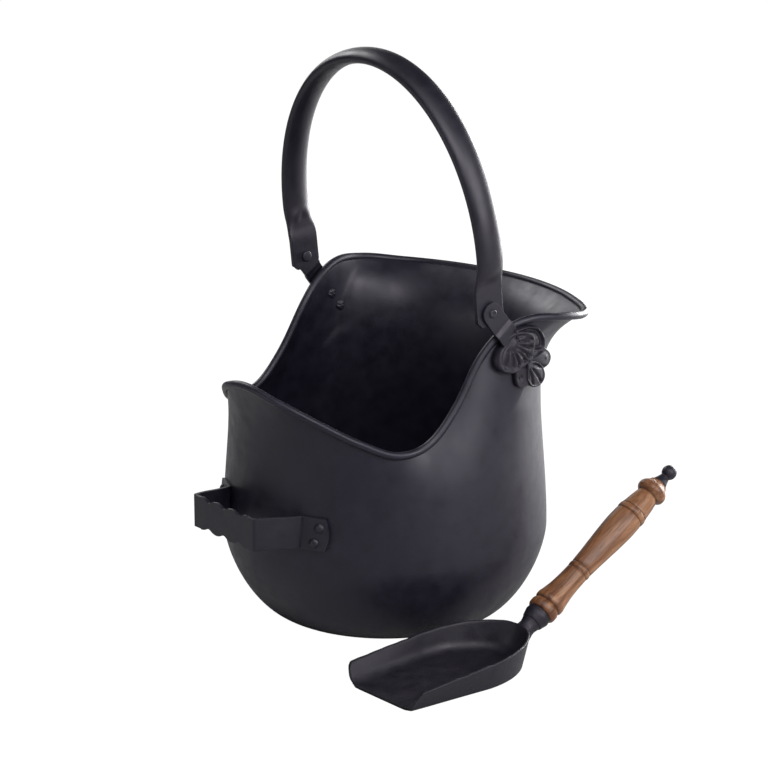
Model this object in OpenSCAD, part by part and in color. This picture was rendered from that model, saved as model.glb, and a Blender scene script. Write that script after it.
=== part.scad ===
// Coal scuttle: a pot-bellied sheet-steel bucket with a flared pouring lip, an upright bail,
// a riveted rear handle, and its own cast shovel lying beside it.
// Millimetres, +Z up, +X towards the pouring lip, origin on the floor under the bucket's axis.

/* [Bucket] */
// Radius of the flat that the bucket stands on
base_r = 100; // [85:1:112]
// Radius of the belly, the widest part of the round body
belly_r = 148; // [130:1:170]
// Height of the belly
belly_z = 78; // [60:1:95]
// Roundness of the curve from base to belly, 2 is a quarter ellipse
base_curve = 1.55; // [1.4:0.05:2.2]
// Radius of the waist above the belly
waist_r = 140.5; // [124:0.5:165]
// Height of the waist
waist_z = 215; // [180:1:240]
// Thickness of the sheet
sheet_t = 2; // [1.2:0.1:3]
// Height at which the round body starts to turn into the shaped mouth
mouth_z = 140; // [110:1:150]
// How late and sharply the front lip flares out
lip_flare = 7; // [3:0.5:9]
// How gradually the sides are drawn in to the ears
side_draw = 2; // [1.5:0.1:4]
// How late the rear edge flares out
rear_flare = 3.2; // [2:0.1:5]

/* [Mouth] */
// Reach of the lip from the axis
lip_reach = 174; // [150:1:195]
// Height of the lip
lip_z = 275; // [255:1:300]
// Reach of the lip's rounded corners
corner_reach = 178; // [160:1:195]
// Height of the shoulders in front of the ears
shoulder_z = 288; // [275:1:310]
// Reach of the rim where the ears cross it
ear_reach = 131; // [122:1:138]
// Height of the rim at the bottom of the side dips
dip_z = 184; // [165:1:200]
// Reach of the rim at the side dips
dip_reach = 140; // [132:1:150]
// Reach of the rear edge
rear_reach = 157; // [148:1:180]
// Height of the rear edge
rear_z = 235; // [215:1:255]
// Radius of the wired bead round the mouth
bead_r = 3.6; // [2.5:0.1:4.5]

/* [Ears] */
// Height of the bail's pivot axis
pivot_z = 300; // [290:1:320]
// Distance of the pivot axis in front of the bucket's axis
pivot_x = 10; // [0:1:20]
// Lean of the ear straps, top to the rear
ear_lean = 38; // [28:1:44]
// Width of an ear strap
strap_w = 20; // [16:0.5:24]
// Thickness of an ear strap
strap_t = 2.6; // [2:0.1:4]
// Distance from the pivot to the upper foot rivet
foot_rivet = 54; // [50:1:58]
// Distance between the two foot rivets
foot_pitch = 16; // [12:1:20]
// Radius of a foot rivet's shank
foot_shank_r = 2.2; // [1.5:0.1:3]
// Height of the cast blossom above the ear strap
blossom_t = 4.5; // [3:0.1:6]
// Radius of the blossom's petals
petal_r = 10; // [8:0.5:11]

/* [Bail] */
// Half width of the bail's middle line
bail_half_w = 136; // [130:0.5:150]
// Height of the hoop's ellipse above its straight legs
bail_rise = 160; // [140:1:185]
// Height of the straight legs above the pivot
leg_h = 50; // [45:1:65]
// Half width of the flattened tube, front to rear
tube_a = 13.1; // [10:0.1:15]
// Half thickness of the flattened tube
tube_b = 7; // [5:0.1:9]
// Half width of the pressed flat end
flat_a = 15; // [12:0.5:17]
// Thickness of the pressed flat end
flat_t = 4.2; // [3:0.1:5]
// Lean of the bail to the rear as it stands
bail_lean = 6.3; // [0:0.1:15]
// Radius of the pivot rivet's shank
pivot_r = 3; // [2:0.1:4]
// Radius of the pivot rivet's domed head
pivot_head_r = 5.2; // [4.5:0.1:8]

/* [Rear handle] */
// Distance of the grip bar's outer face from the axis
bar_x = 184; // [175:1:200]
// Length of the grip bar
bar_len = 90; // [75:1:105]
// Height of the strip's upper edge at the tabs
strap_top_z = 126; // [115:1:135]
// Width of the strip
strip_w = 29.5; // [24:0.5:34]
// Thickness of the strip
strip_t = 3; // [2:0.1:4]
// Rise of the grip bar above the tabs
bar_rise = 4; // [0:0.5:8]
// Bearing of the bends where the arms meet the wall, from the rear
arm_bearing = 20.5; // [16:0.5:24]
// Bearing of the ends of the tabs, from the rear
tab_bearing = 31.5; // [28:0.5:34]
// Radius of a tab rivet's round head
tab_head_r = 4.6; // [3.5:0.1:6]
// Radius of a tab rivet's shank
tab_shank_r = 2.5; // [1.8:0.1:3]

/* [Shovel pan] */
// Length of the pan at its rim
pan_len = 162; // [140:1:185]
// Half width of the floor at the front edge
pan_front_hw = 39; // [32:0.5:44]
// Half width of the floor where the round back begins
pan_back_hw = 46; // [40:0.5:50]
// Half width of the rim
pan_rim_hw = 48.5; // [44:0.5:56]
// Length of the straight sides
pan_side = 87; // [70:1:110]
// Height of the side walls at the front
pan_front_h = 18; // [12:0.5:24]
// Height of the wall at the back
pan_back_h = 28; // [24:0.5:36]
// Thickness of the casting
pan_t = 3; // [2:0.1:4]

/* [Shovel handle] */
// Pitch of the handle above the floor
handle_pitch = 31.2; // [20:0.1:40]
// Height of the handle's axis where it leaves the pan
handle_z = 18.5; // [15:0.5:22]
// Radius of the casting's neck
neck_r = 7.8; // [6:0.1:10]
// Distance along the handle at which the ferrule begins
ferrule_at = 13; // [10:0.5:16]
// Length of the ferrule
ferrule_len = 12; // [8:0.5:16]
// Radius of the ferrule at the wood
ferrule_r = 11.9; // [10:0.1:14]
// Length of the turned wood
grip_len = 170; // [140:1:200]
// Radius of the wood at its fullest
grip_r = 14.2; // [12:0.1:17]
// Radius of the wood at its slim waist
grip_waist_r = 10.5; // [8:0.1:12]
// Radius of the steel rod through the wood
tang_r = 3; // [2:0.1:4]
// Radius of the ball nut
ball_r = 6.9; // [5:0.1:9]

/* [Shovel position] */
// Front edge of the pan, along X from the bucket's axis
shovel_x = -156.5; // [-260:0.5:-60]
// Middle line of the shovel, along Y from the bucket's axis
shovel_y = -182; // [-260:0.5:-178]
// Turn of the shovel on the floor
shovel_yaw = 1; // [0:0.1:8]

/* [Hidden] */
// clearances
seat_gap = 0.25;
turn_gap = 0.08;
press_gap = 0.02;
side_play = 0.3;
tail_gap = 0.5;
foot_tail_gap = 1.3;
foot_gap = 0.35;

// the ears cross the rim at this bearing from the lip
ear_bearing = 78;
// mouth stations from the lip round to the rear: bearing, reach, height of the bead's middle
rim = [
    [0, lip_reach, lip_z],
    [25, lip_reach + 1, lip_z + 1],
    [45, corner_reach, lip_z + 3],
    [58, corner_reach - 14, shoulder_z - 3],
    [68, (corner_reach + ear_reach) / 2 - 8.5, shoulder_z],
    [ear_bearing, ear_reach, shoulder_z - 9],
    [88, ear_reach - 7, shoulder_z - 31],
    [100, ear_reach - 6, (shoulder_z + dip_z) / 2 - 18],
    [112, (ear_reach + dip_reach) / 2 - 4.5, dip_z + 7],
    [124, dip_reach, dip_z],
    [138, dip_reach + 1, dip_z + 10],
    [152, dip_reach + 5, (dip_z + rear_z) / 2],
    [166, rear_reach - 3, rear_z - 9],
    [180, rear_reach, rear_z]
];
rim_last = len(rim) - 1;
body_seg = 60;
low_rings = 6;
high_rings = 9;
bead_sides = 8;

bail_sides = 16;
bail_arc = 20;
// heights of the sweep's lower rings: chamfered end, pressed flat, then the tube
leg_rings = [-11, -6.5, 18, 31, 36, 43];

arc_fn = 64;
// inner face of the ear's eye, and the pressed end of the bail inside it
eye_y = ear_reach * sin(ear_bearing) + bead_r + 0.3;
flat_y = eye_y - side_play - flat_t / 2;
// slope of the bead across the strap, and how far down the strap it crosses
bead_slope = 0.2;
bead_at = 27;
// middle of the foot, between its two rivets, and the casting's seat over the strap
foot_mid = foot_rivet + foot_pitch / 2;
foot_back = foot_gap + strap_t + 0.2;

grip_at = ferrule_at + ferrule_len;
washer_at = grip_at + grip_len;
washer_len = 10;
ball_at = washer_at + washer_len + ball_r - 1;
// middle of the round tabs and of their rivets
tab_mid_z = strap_top_z - strip_w / 2;
tab_rivet_bearing = (arm_bearing + tab_bearing) / 2 + 1;
tab_rivet_tilt = 0.95;
tab_rivet_z = tab_mid_z - 1;
tab_rivet_pitch = 14;
tab_end_r = 30;

black = [0.16, 0.155, 0.17];
cast_black = [0.13, 0.13, 0.14];
rivet_black = [0.2, 0.195, 0.21];
walnut = [0.36, 0.21, 0.12];

// ---- shared curves -------------------------------------------------------------------------

function smooth(a, b, x) =
    let (u = min(1, max(0, (x - a) / (b - a))))
    u * u * (3 - 2 * u);

// a mouth station by number, mirrored past the lip and past the rear
function station(i) =
    i < 0 ? [-rim[-i][0], rim[-i][1], rim[-i][2]]
    : i > rim_last ? [360 - rim[2 * rim_last - i][0], rim[2 * rim_last - i][1], rim[2 * rim_last - i][2]]
    : rim[i];

// slope of value k at station i, from the two spans beside it
function station_slope(i, k) =
    let (
        h0 = station(i)[0] - station(i - 1)[0],
        h1 = station(i + 1)[0] - station(i)[0],
        d0 = (station(i)[k] - station(i - 1)[k]) / h0,
        d1 = (station(i + 1)[k] - station(i)[k]) / h1
    )
    (d0 * h1 + d1 * h0) / (h0 + h1);

// smooth curve through the stations: k = 1 is the reach, k = 2 the height
function rim_value(bearing, k) =
    let (
        b = abs(bearing),
        i = min(rim_last - 1, len([for (s = rim) if (s[0] <= b) s]) - 1),
        h = station(i + 1)[0] - station(i)[0],
        u = (b - station(i)[0]) / h
    )
    (1 + 2 * u) * pow(1 - u, 2) * station(i)[k]
    + u * pow(1 - u, 2) * h * station_slope(i, k)
    + u * u * (3 - 2 * u) * station(i + 1)[k]
    + u * u * (u - 1) * h * station_slope(i + 1, k);

// radius of the round body at a height
function round_r(z) =
    z < belly_z
    ? base_r + (belly_r - base_r) * pow(max(0, 1 - pow((belly_z - z) / belly_z, base_curve)), 1 / base_curve)
    : belly_r + (waist_r - belly_r) * smooth(belly_z, waist_z, z);

function flare_power(bearing) =
    let (b = abs(bearing))
    lip_flare + (side_draw - lip_flare) * smooth(50, 80, b) + (rear_flare - side_draw) * smooth(125, 165, b);

// outer face of the wall at a bearing and height
function wall_r(bearing, z) =
    let (
        reach = rim_value(bearing, 1),
        top = rim_value(bearing, 2),
        share = pow(max(0, (z - mouth_z) / (top - mouth_z)), flare_power(bearing))
    )
    round_r(z) + (reach - round_r(top)) * share;

// lean of the wall: change of radius with height
function wall_lean(bearing, z) = wall_r(bearing, z + 0.5) - wall_r(bearing, z - 0.5);

// height at which the sheet stops under the bead
function sheet_top(bearing) =
    let (
        top = rim_value(bearing, 2),
        lean = wall_lean(bearing, top - 0.5),
        run = 2 * rim_value(bearing, 1) * PI / 180,
        climb = (rim_value(bearing + 1, 2) - rim_value(bearing - 1, 2)) / run
    )
    top - (bead_r + seat_gap + 0.1) * sqrt((1 + climb * climb) / (1 + lean * lean));

function polar(r, bearing, z) = [r * cos(bearing), r * sin(bearing), z];

// outer point of the sheet at ring j, from the base's edge up to the bead
function outer_point(j, bearing) =
    j < low_rings
    ? let (a = 90 * j / low_rings)
        polar(
            base_r + (belly_r - base_r) * pow(sin(a), 2 / base_curve),
            bearing,
            belly_z * (1 - pow(cos(a), 2 / base_curve))
        )
    : let (z = belly_z + (sheet_top(bearing) - belly_z) * (1 - pow(1 - (j - low_rings) / high_rings, 1.5)))
        polar(wall_r(bearing, z), bearing, z);

// inner point: one sheet thickness in along the wall's normal
function inner_point(j, bearing) =
    let (
        p = outer_point(j, bearing),
        lean = j == 0 ? 1000 : j == low_rings ? 0 : wall_lean(bearing, p[2]),
        n = sqrt(1 + lean * lean),
        r = norm([p[0], p[1]])
    )
    polar(r - sheet_t / n, bearing, p[2] + sheet_t * lean / n);

// triangles between rings of n points each, first ring starting at point a, second at b
function band(a, b, n) = [
    for (i = [0 : n - 1])
        let (k = (i + 1) % n)
        each i < n / 2
        ? [[a + i, b + i, b + k], [a + i, b + k, a + k]]
        : [[a + i, b + i, a + k], [b + i, b + k, a + k]]
];

// ring of points round a middle point, in the plane of two unit vectors
function loop_ring(mid, u, v, a, b, sides, power) = [
    for (k = [0 : sides - 1])
        let (
            t = 360 * (k + 0.5) / sides,
            c = cos(t),
            s = sin(t)
        )
        mid + u * a * sign(c) * pow(abs(c), power) + v * b * sign(s) * pow(abs(s), power)
];

function unit(v) = v / norm(v);

// ---- bucket --------------------------------------------------------------------------------

module body_sheet() {
    rings = low_rings + high_rings + 1;
    outer = [for (j = [0 : rings - 1], i = [0 : body_seg - 1]) outer_point(j, 360 * i / body_seg - 180)];
    inner = [for (j = [0 : rings - 1], i = [0 : body_seg - 1]) inner_point(j, 360 * i / body_seg - 180)];
    count = rings * body_seg;
    faces_out = [for (j = [0 : rings - 2]) each band(j * body_seg, (j + 1) * body_seg, body_seg)];
    faces_in = [for (j = [0 : rings - 2])
        each band(count + (j + 1) * body_seg, count + j * body_seg, body_seg)];
    faces_top = band((rings - 1) * body_seg, count + (rings - 1) * body_seg, body_seg);
    cap_out = [for (i = [0 : body_seg - 1]) [2 * count, i, (i + 1) % body_seg]];
    cap_in = [for (i = [0 : body_seg - 1]) [2 * count + 1, count + (i + 1) % body_seg, count + i]];
    polyhedron(
        points = concat(outer, inner, [[0, 0, 0], [0, 0, sheet_t]]),
        faces = concat(faces_out, faces_in, faces_top, cap_out, cap_in),
        convexity = 6
    );
}

module body_shell() {
    color(black)
        difference() {
            body_sheet();
            for (side = [-1, 1]) {
                foot_rivet_places(side)
                    cylinder(r = foot_shank_r + press_gap, h = 20, center = true, $fn = arc_fn);
                tab_rivet_places(side)
                    cylinder(r = tab_shank_r + press_gap, h = 20, center = true, $fn = arc_fn);
            }
        }
}

// the wired edge: a ring of bead_sides facets swept once round the mouth
module rim_bead() {
    mid = [for (i = [0 : body_seg - 1])
        let (b = 360 * i / body_seg - 180)
        polar(rim_value(b, 1), b, rim_value(b, 2))];
    points = [for (i = [0 : body_seg - 1])
        let (
            along = unit(mid[(i + 1) % body_seg] - mid[(i + body_seg - 1) % body_seg]),
            out = unit(cross(along, [0, 0, 1]))
        )
        each loop_ring(mid[i], out, cross(out, along), bead_r, bead_r, bead_sides, 1)];
    faces = [for (i = [0 : body_seg - 1])
        each band(((i + 1) % body_seg) * bead_sides, i * bead_sides, bead_sides)];
    color(black)
        polyhedron(points = points, faces = faces, convexity = 8);
}

// ---- ears ----------------------------------------------------------------------------------

// the left side as drawn, the right side mirrored
module at_side(side) {
    if (side > 0)
        children();
    else
        mirror([0, 1, 0])
            children();
}

// strap frame: origin on the pivot axis, +Z up along the strap, +Y outward
module ear_frame(side) {
    at_side(side)
        translate([pivot_x, 0, pivot_z])
            rotate([0, -ear_lean, 0])
                children();
}

// distance of the wall's outer face from the middle plane, at a point of the strap frame
function wall_y(across, up) =
    let (
        x = pivot_x + across * cos(ear_lean) - up * sin(ear_lean),
        z = pivot_z + across * sin(ear_lean) + up * cos(ear_lean)
    )
    wall_y_at(x, z, ear_reach, 6);

function wall_y_at(x, z, y, steps) =
    steps == 0 ? y
    : let (r = wall_r(atan2(y, x), z))
        wall_y_at(x, z, sqrt(r * r - x * x), steps - 1);

foot_slope_x = (wall_y(8, -foot_mid) - wall_y(-8, -foot_mid)) / 16;
foot_slope_z = (wall_y(0, 12 - foot_mid) - wall_y(0, -12 - foot_mid)) / 24;

// foot frame: on the wall, between the foot rivets, +Y square to the sheet
module foot_frame(side) {
    ear_frame(side)
        translate([0, wall_y(0, -foot_mid), -foot_mid])
            rotate([-atan(foot_slope_z), 0, atan(foot_slope_x)])
                children();
}

// one place per foot rivet, +Z outward, zero on the sheet's outer face
module foot_rivet_places(side) {
    foot_frame(side)
        for (up = [-foot_pitch / 2, foot_pitch / 2])
            translate([0, 0, up])
                rotate([-90, 0, 0])
                    children();
}

// side view of the bent strap in its own frame: from the eye, over the bead, down to the foot;
// `grow` and `back` move its outer and inner face, for the channel in the casting's back
module strap_profile(grow = 0, back = 0) {
    over_bead = eye_y + bead_slope * strap_w / 2 + 0.25;
    foot_in = wall_y(0, -foot_mid) + foot_gap + 0.15;
    foot_y = [for (down = [foot_mid - 18, foot_mid - 12]) foot_in + foot_slope_z * (foot_mid - down)];
    thin = strap_t - 0.3;
    polygon([
        [0, eye_y - back], [6 - bead_at, eye_y - back],
        [3.5 - bead_at, over_bead - back], [-5 - bead_at, over_bead - back],
        [18 - foot_mid, foot_y[0] - back], [12 - foot_mid, foot_y[1] - back],
        [12 - foot_mid, foot_y[1] + thin + grow], [18 - foot_mid, foot_y[0] + thin + grow],
        [-5 - bead_at, over_bead + strap_t + grow], [4.5 - bead_at, over_bead + strap_t + grow],
        [7 - bead_at, eye_y + strap_t + grow], [0, eye_y + strap_t + grow]
    ]);
}

module ear(side) {
    foot_top = foot_pitch / 2 + 9;
    color(cast_black)
        difference() {
            union() {
                // round eye and the bent strap below it
                ear_frame(side) {
                    translate([0, eye_y, 0])
                        rotate([-90, 0, 0])
                            cylinder(r = strap_w / 2, h = strap_t, $fn = arc_fn);
                    translate([-strap_w / 2, 0, 0])
                        rotate([90, 0, 90])
                            linear_extrude(strap_w)
                                mirror([1, -1, 0])
                                    strap_profile();
                }
                // foot with a round end, on the sheet
                foot_frame(side) {
                    translate([-strap_w / 2, foot_gap, -foot_pitch / 2])
                        cube([strap_w, strap_t, foot_top + foot_pitch / 2]);
                    translate([0, foot_gap, -foot_pitch / 2])
                        rotate([-90, 0, 0])
                            cylinder(r = strap_w / 2, h = strap_t, $fn = arc_fn);
                }
            }
            ear_frame(side)
                translate([0, eye_y - 5, 0])
                    rotate([-90, 0, 0])
                        cylinder(r = pivot_r + press_gap, h = strap_t + 10, $fn = arc_fn);
            foot_rivet_places(side)
                cylinder(r = foot_shank_r + press_gap, h = 20, center = true, $fn = arc_fn);
        }
}

module ear_left() { ear(1); }

module ear_right() { ear(-1); }

// petals of the casting in the strap frame: across, distance down the strap, radius share
petals = [
    [1, 82, 1], [-14, 69, 0.9], [13, 71, 1.05], [-13.5, 50.5, 1.25], [15.5, 52, 1.15], [0, 64, 1.2], [0, 52, 1]
];

// one petal: a disc square to the wall where it stands
module petal(p) {
    slope_x = (wall_y(p[0] + 6, -p[1]) - wall_y(p[0] - 6, -p[1])) / 12;
    slope_z = (wall_y(p[0], 6 - p[1]) - wall_y(p[0], -6 - p[1])) / 12;
    translate([p[0], wall_y(p[0], -p[1]), -p[1]])
        rotate([-atan(slope_z), 0, atan(slope_x)])
            translate([0, 1, 0])
                rotate([-90, 0, 0])
                    cylinder(r = petal_r * p[2], h = strap_t + blossom_t - 0.8, $fn = arc_fn);
}

// cast shell and blossom over the foot, its back channelled for the strap
module blossom(side) {
    back = foot_back;
    color(cast_black)
        difference() {
            union() {
                ear_frame(side)
                    for (p = petals)
                        petal(p);
                foot_frame(side)
                    translate([0, back, -foot_pitch / 2])
                        rotate([-90, 0, 0])
                            cylinder(r = 7, h = blossom_t + 1.5, $fn = arc_fn);
            }
            ear_frame(side)
                translate([-strap_w / 2 - seat_gap, 0, 0])
                    rotate([90, 0, 90])
                        linear_extrude(strap_w + 2 * seat_gap)
                            mirror([1, -1, 0])
                                strap_profile(grow = seat_gap, back = 6);
            foot_frame(side) {
                translate([-strap_w / 2 - seat_gap, -5, -foot_pitch / 2])
                    cube([strap_w + 2 * seat_gap, back + 5, 60]);
                translate([0, -5, -foot_pitch / 2])
                    rotate([-90, 0, 0])
                        cylinder(r = strap_w / 2 + seat_gap, h = back + 5, $fn = arc_fn);
            }
            foot_rivet_places(side)
                cylinder(r = foot_shank_r + press_gap, h = 40, center = true, $fn = arc_fn);
        }
}

module blossom_left() { blossom(1); }

module blossom_right() { blossom(-1); }

// a cap of a ball: radius r at its flat side, height h
module dome(r, h) {
    ball = (r * r + h * h) / (2 * h);
    intersection() {
        translate([0, 0, h - ball])
            sphere(r = ball, $fn = arc_fn);
        cylinder(r = r + 1, h = h + 1, $fn = arc_fn);
    }
}

// a rivet along Z: dome above `top`, clinched head below `bottom`
module rivet(shank_r, bottom, top, head_r, head_h, tail_r, tail_h) {
    translate([0, 0, bottom - tail_h / 2])
        cylinder(r = shank_r, h = top - bottom + tail_h / 2 + head_h / 2, $fn = arc_fn);
    translate([0, 0, top])
        dome(head_r, head_h);
    translate([0, 0, bottom])
        mirror([0, 0, 1])
            dome(tail_r, tail_h);
}

module foot_rivets(side) {
    color(rivet_black)
        foot_frame(side) {
            translate([0, 0, -foot_pitch / 2])
                rotate([-90, 0, 0])
                    rivet(
                        foot_shank_r, -sheet_t - foot_tail_gap, foot_back + blossom_t + 1.6,
                        4.5, 1.8, 4, 1.2
                    );
            translate([0, 0, foot_pitch / 2])
                rotate([-90, 0, 0])
                    rivet(
                        foot_shank_r, -sheet_t - foot_tail_gap, foot_back + blossom_t + 0.7,
                        3.6, 1, 4, 1.2
                    );
        }
}

module ear_rivets_left() { foot_rivets(1); }

module ear_rivets_right() { foot_rivets(-1); }

// ---- rear handle ---------------------------------------------------------------------------

// a tab rivet's place, +Z outward along the bearing, zero on the sheet's outer face
module tab_rivet_places(side) {
    for (k = [-1, 1])
        rotate([0, 0, 180 - side * (tab_rivet_bearing + tab_rivet_tilt * k)])
            translate([
                round_r(tab_rivet_z + k * tab_rivet_pitch / 2), 0,
                tab_rivet_z + k * tab_rivet_pitch / 2
            ])
                rotate([0, 90, 0])
                    children();
}

// half height of the grip bar along its length: four finger lobes with a cusp between each
function bar_half(y) =
    let (
        lobe = bar_len / 4,
        u = abs(y) / lobe,
        off = u - floor(u) - 0.5
    )
    u > 1.5 ? strip_w / 2 : strip_w / 2 + 0.5 - 16 * off * off;

bar_steps = 40;

module bar_outline() {
    ends = bar_len / 2;
    ys = [for (i = [0 : bar_steps]) -ends + 2 * ends * i / bar_steps];
    polygon(concat(
        [for (y = ys) [y, bar_half(y)]],
        [for (i = [bar_steps : -1 : 0]) [ys[i], -bar_half(ys[i])]]
    ));
}

module rear_arm() {
    wall = round_r(tab_mid_z) + seat_gap;
    bar = [-bar_x + strip_t / 2, bar_len / 2 - strip_t / 2];
    bend = (wall + strip_t / 2 + 0.1) * [-cos(arm_bearing), sin(arm_bearing)];
    run = norm(bend - bar);
    low = strap_top_z - strip_w;
    translate([bar[0], bar[1], 0])
        rotate([0, 0, atan2(bend[1] - bar[1], bend[0] - bar[0])])
            translate([0, strip_t / 2, 0])
                rotate([90, 0, 0])
                    linear_extrude(strip_t)
                        polygon([
                            [0, low + bar_rise + 0.1], [run, low],
                            [run, strap_top_z], [0, strap_top_z + bar_rise - 0.1]
                        ]);
    // tab on the sheet, with a slightly rounded end
    tab_low = round_r(low) + seat_gap;
    tab_high = round_r(strap_top_z) + seat_gap;
    round_at = tab_bearing - tab_end_r / wall * 180 / PI;
    intersection() {
        rotate_extrude($fn = 360)
            polygon([
                [tab_low, low], [tab_low + strip_t, low],
                [tab_high + strip_t, strap_top_z], [tab_high, strap_top_z]
            ]);
        rotate([0, 0, 180 - round_at])
            translate([wall - 10, 0, tab_mid_z])
                rotate([0, 90, 0])
                    cylinder(r = tab_end_r, h = 25, $fn = arc_fn);
        rotate([0, 0, 180 - arm_bearing])
            translate([wall - 10, -40, low - 1])
                cube([25, 42, strip_w + 2]);
    }
}

module rear_handle() {
    color(black)
        difference() {
            union() {
                translate([-bar_x + strip_t, 0, strap_top_z + bar_rise - strip_w / 2])
                    rotate([90, 0, -90])
                        linear_extrude(strip_t)
                            bar_outline();
                for (side = [-1, 1])
                    at_side(side)
                        rear_arm();
            }
            for (side = [-1, 1])
                tab_rivet_places(side)
                    cylinder(r = tab_shank_r + press_gap, h = 20, center = true, $fn = arc_fn);
        }
}

module handle_rivets(side) {
    color(rivet_black)
        tab_rivet_places(side)
            rivet(tab_shank_r, -sheet_t - tail_gap, seat_gap + strip_t + 0.2, tab_head_r, 2.8, 4.2, 1.2);
}

module handle_rivets_left() { handle_rivets(1); }

module handle_rivets_right() { handle_rivets(-1); }

// ---- bail ----------------------------------------------------------------------------------

// rings of the bail from the right foot over the top: [y, height above the pivot]
bail_path = concat(
    [for (h = leg_rings) [-leg_y(h), h]],
    [for (i = [0 : bail_arc])
        let (t = 180 * i / bail_arc)
        [-bail_half_w * cos(t), leg_h + bail_rise * sin(t)]],
    [for (i = [len(leg_rings) - 1 : -1 : 0]) [leg_y(leg_rings[i]), leg_rings[i]]]
);

function leg_y(h) = flat_y + (bail_half_w - flat_y) * smooth(28, leg_h, h);

// share of the round tube, 0 at the pressed flat and 1 from the top of the legs
function tube_share(h) = smooth(28, leg_h - 4, h);

module bail() {
    n = len(bail_path);
    points = [for (i = [0 : n - 1])
        let (
            p = bail_path[i],
            before = bail_path[max(0, i - 1)],
            after = bail_path[min(n - 1, i + 1)],
            along = unit([0, after[0] - before[0], after[1] - before[1]]),
            m = tube_share(p[1]),
            a = i == 0 || i == n - 1 ? flat_a - 4.5 : flat_a + (tube_a - flat_a) * m,
            b = flat_t / 2 + (tube_b - flat_t / 2) * m
        )
        each loop_ring(
            [0, p[0], p[1]], [1, 0, 0], cross(along, [1, 0, 0]), a, b, bail_sides, 0.15 + 0.85 * m
        )];
    faces = [for (i = [0 : n - 2]) each band(i * bail_sides, (i + 1) * bail_sides, bail_sides)];
    first = [for (k = [1 : bail_sides - 2]) [0, k, k + 1]];
    last = [for (k = [1 : bail_sides - 2]) [0, k + 1, k] + (n - 1) * bail_sides * [1, 1, 1]];
    color(black)
        translate([pivot_x, 0, pivot_z])
            rotate([0, -bail_lean, 0])
                difference() {
                    polyhedron(points = points, faces = concat(faces, first, last), convexity = 6);
                    for (side = [-1, 1])
                        translate([0, side * flat_y, 0])
                            rotate([90, 0, 0])
                                cylinder(r = pivot_r + turn_gap, h = 3 * flat_t, center = true, $fn = arc_fn);
                }
}

// pivot rivet: round head inside the bail, peened tail outside the ear
module bail_rivet(side) {
    color(rivet_black)
        at_side(side)
            translate([pivot_x, 0, pivot_z])
                rotate([90, 0, 0])
                    rivet(
                        pivot_r, -eye_y - strap_t - 0.02, -flat_y + flat_t / 2 + side_play,
                        pivot_head_r, 3.4, 4.2, 1.8
                    );
}

module bail_rivet_left() { bail_rivet(1); }

module bail_rivet_right() { bail_rivet(-1); }

// ---- shovel --------------------------------------------------------------------------------

// the shovel's own frame: +X from the front edge to the handle, on the floor
module shovel_frame() {
    translate([shovel_x, shovel_y, 0])
        rotate([0, 0, shovel_yaw])
            children();
}

// handle frame: +Z along the handle from the back of the pan
module handle_frame() {
    shovel_frame()
        translate([pan_len + 3.5, 0, handle_z])
            rotate([0, 90 - handle_pitch, 0])
                children();
}

function pan_height(s) = pan_front_h + (pan_back_h - pan_front_h) * s / pan_len;

// half outline of the pan, station 0 at the front and pan_half at the middle of the back
pan_straight = 3;
pan_round = 9;
pan_half = pan_straight + pan_round;

// [s, t] of the outline: lengths and half widths are given for the floor or for the rim
function pan_plan(i, front_s, back_s, front_hw, back_hw) =
    i < pan_straight
    ? let (u = i / pan_straight)
        [front_s + (pan_side - front_s) * u, front_hw + (back_hw - front_hw) * u]
    : let (a = 90 * (i - pan_straight) / pan_round)
        [pan_side + (back_s - pan_side) * sin(a), back_hw * cos(a)];

// four points of a wall section: outer foot, outer rim, inner rim, inner foot
function pan_section(i, sign_t) =
    let (
        floor_o = pan_plan(i, 0, pan_len - 9, pan_front_hw, pan_back_hw),
        rim_o = pan_plan(i, 5, pan_len, pan_rim_hw, pan_rim_hw + 0.5),
        rim_i = pan_plan(i, 5, pan_len - pan_t, pan_rim_hw - pan_t, pan_rim_hw + 0.5 - pan_t),
        floor_i = pan_plan(i, 0, pan_len - 9 - pan_t, pan_front_hw - pan_t, pan_back_hw - pan_t)
    )
    [
        [floor_o[0], sign_t * floor_o[1], 0],
        [rim_o[0], sign_t * rim_o[1], pan_height(rim_o[0])],
        [rim_i[0], sign_t * rim_i[1], pan_height(rim_i[0])],
        [floor_i[0], sign_t * floor_i[1], pan_t]
    ];

function quad(a, b, c, d) = [[a, b, c], [a, c, d]];

module pan_casting() {
    n = 2 * pan_half;
    points = [for (k = [0 : n]) each k <= pan_half ? pan_section(k, 1) : pan_section(n - k, -1)];
    walls = [for (k = [0 : n - 1], e = [0 : 2])
        each quad(4 * k + e, 4 * k + 4 + e, 4 * k + 5 + e, 4 * k + 1 + e)];
    // strips of floor between the two sides, below and above
    floor_strips = [for (k = [0 : pan_half - 2])
        each concat(
            quad(4 * k, 4 * (n - k), 4 * (n - k - 1), 4 * k + 4),
            quad(4 * k + 3, 4 * k + 7, 4 * (n - k - 1) + 3, 4 * (n - k) + 3)
        )];
    m = 4 * pan_half;
    floor_end = [[m - 4, m + 4, m], [m - 1, m + 3, m + 7]];
    front = concat(
        quad(0, 1, 2, 3),
        quad(4 * n + 3, 4 * n + 2, 4 * n + 1, 4 * n),
        quad(0, 3, 4 * n + 3, 4 * n)
    );
    polyhedron(points = points, faces = concat(walls, floor_strips, floor_end, front), convexity = 6);
}

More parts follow.
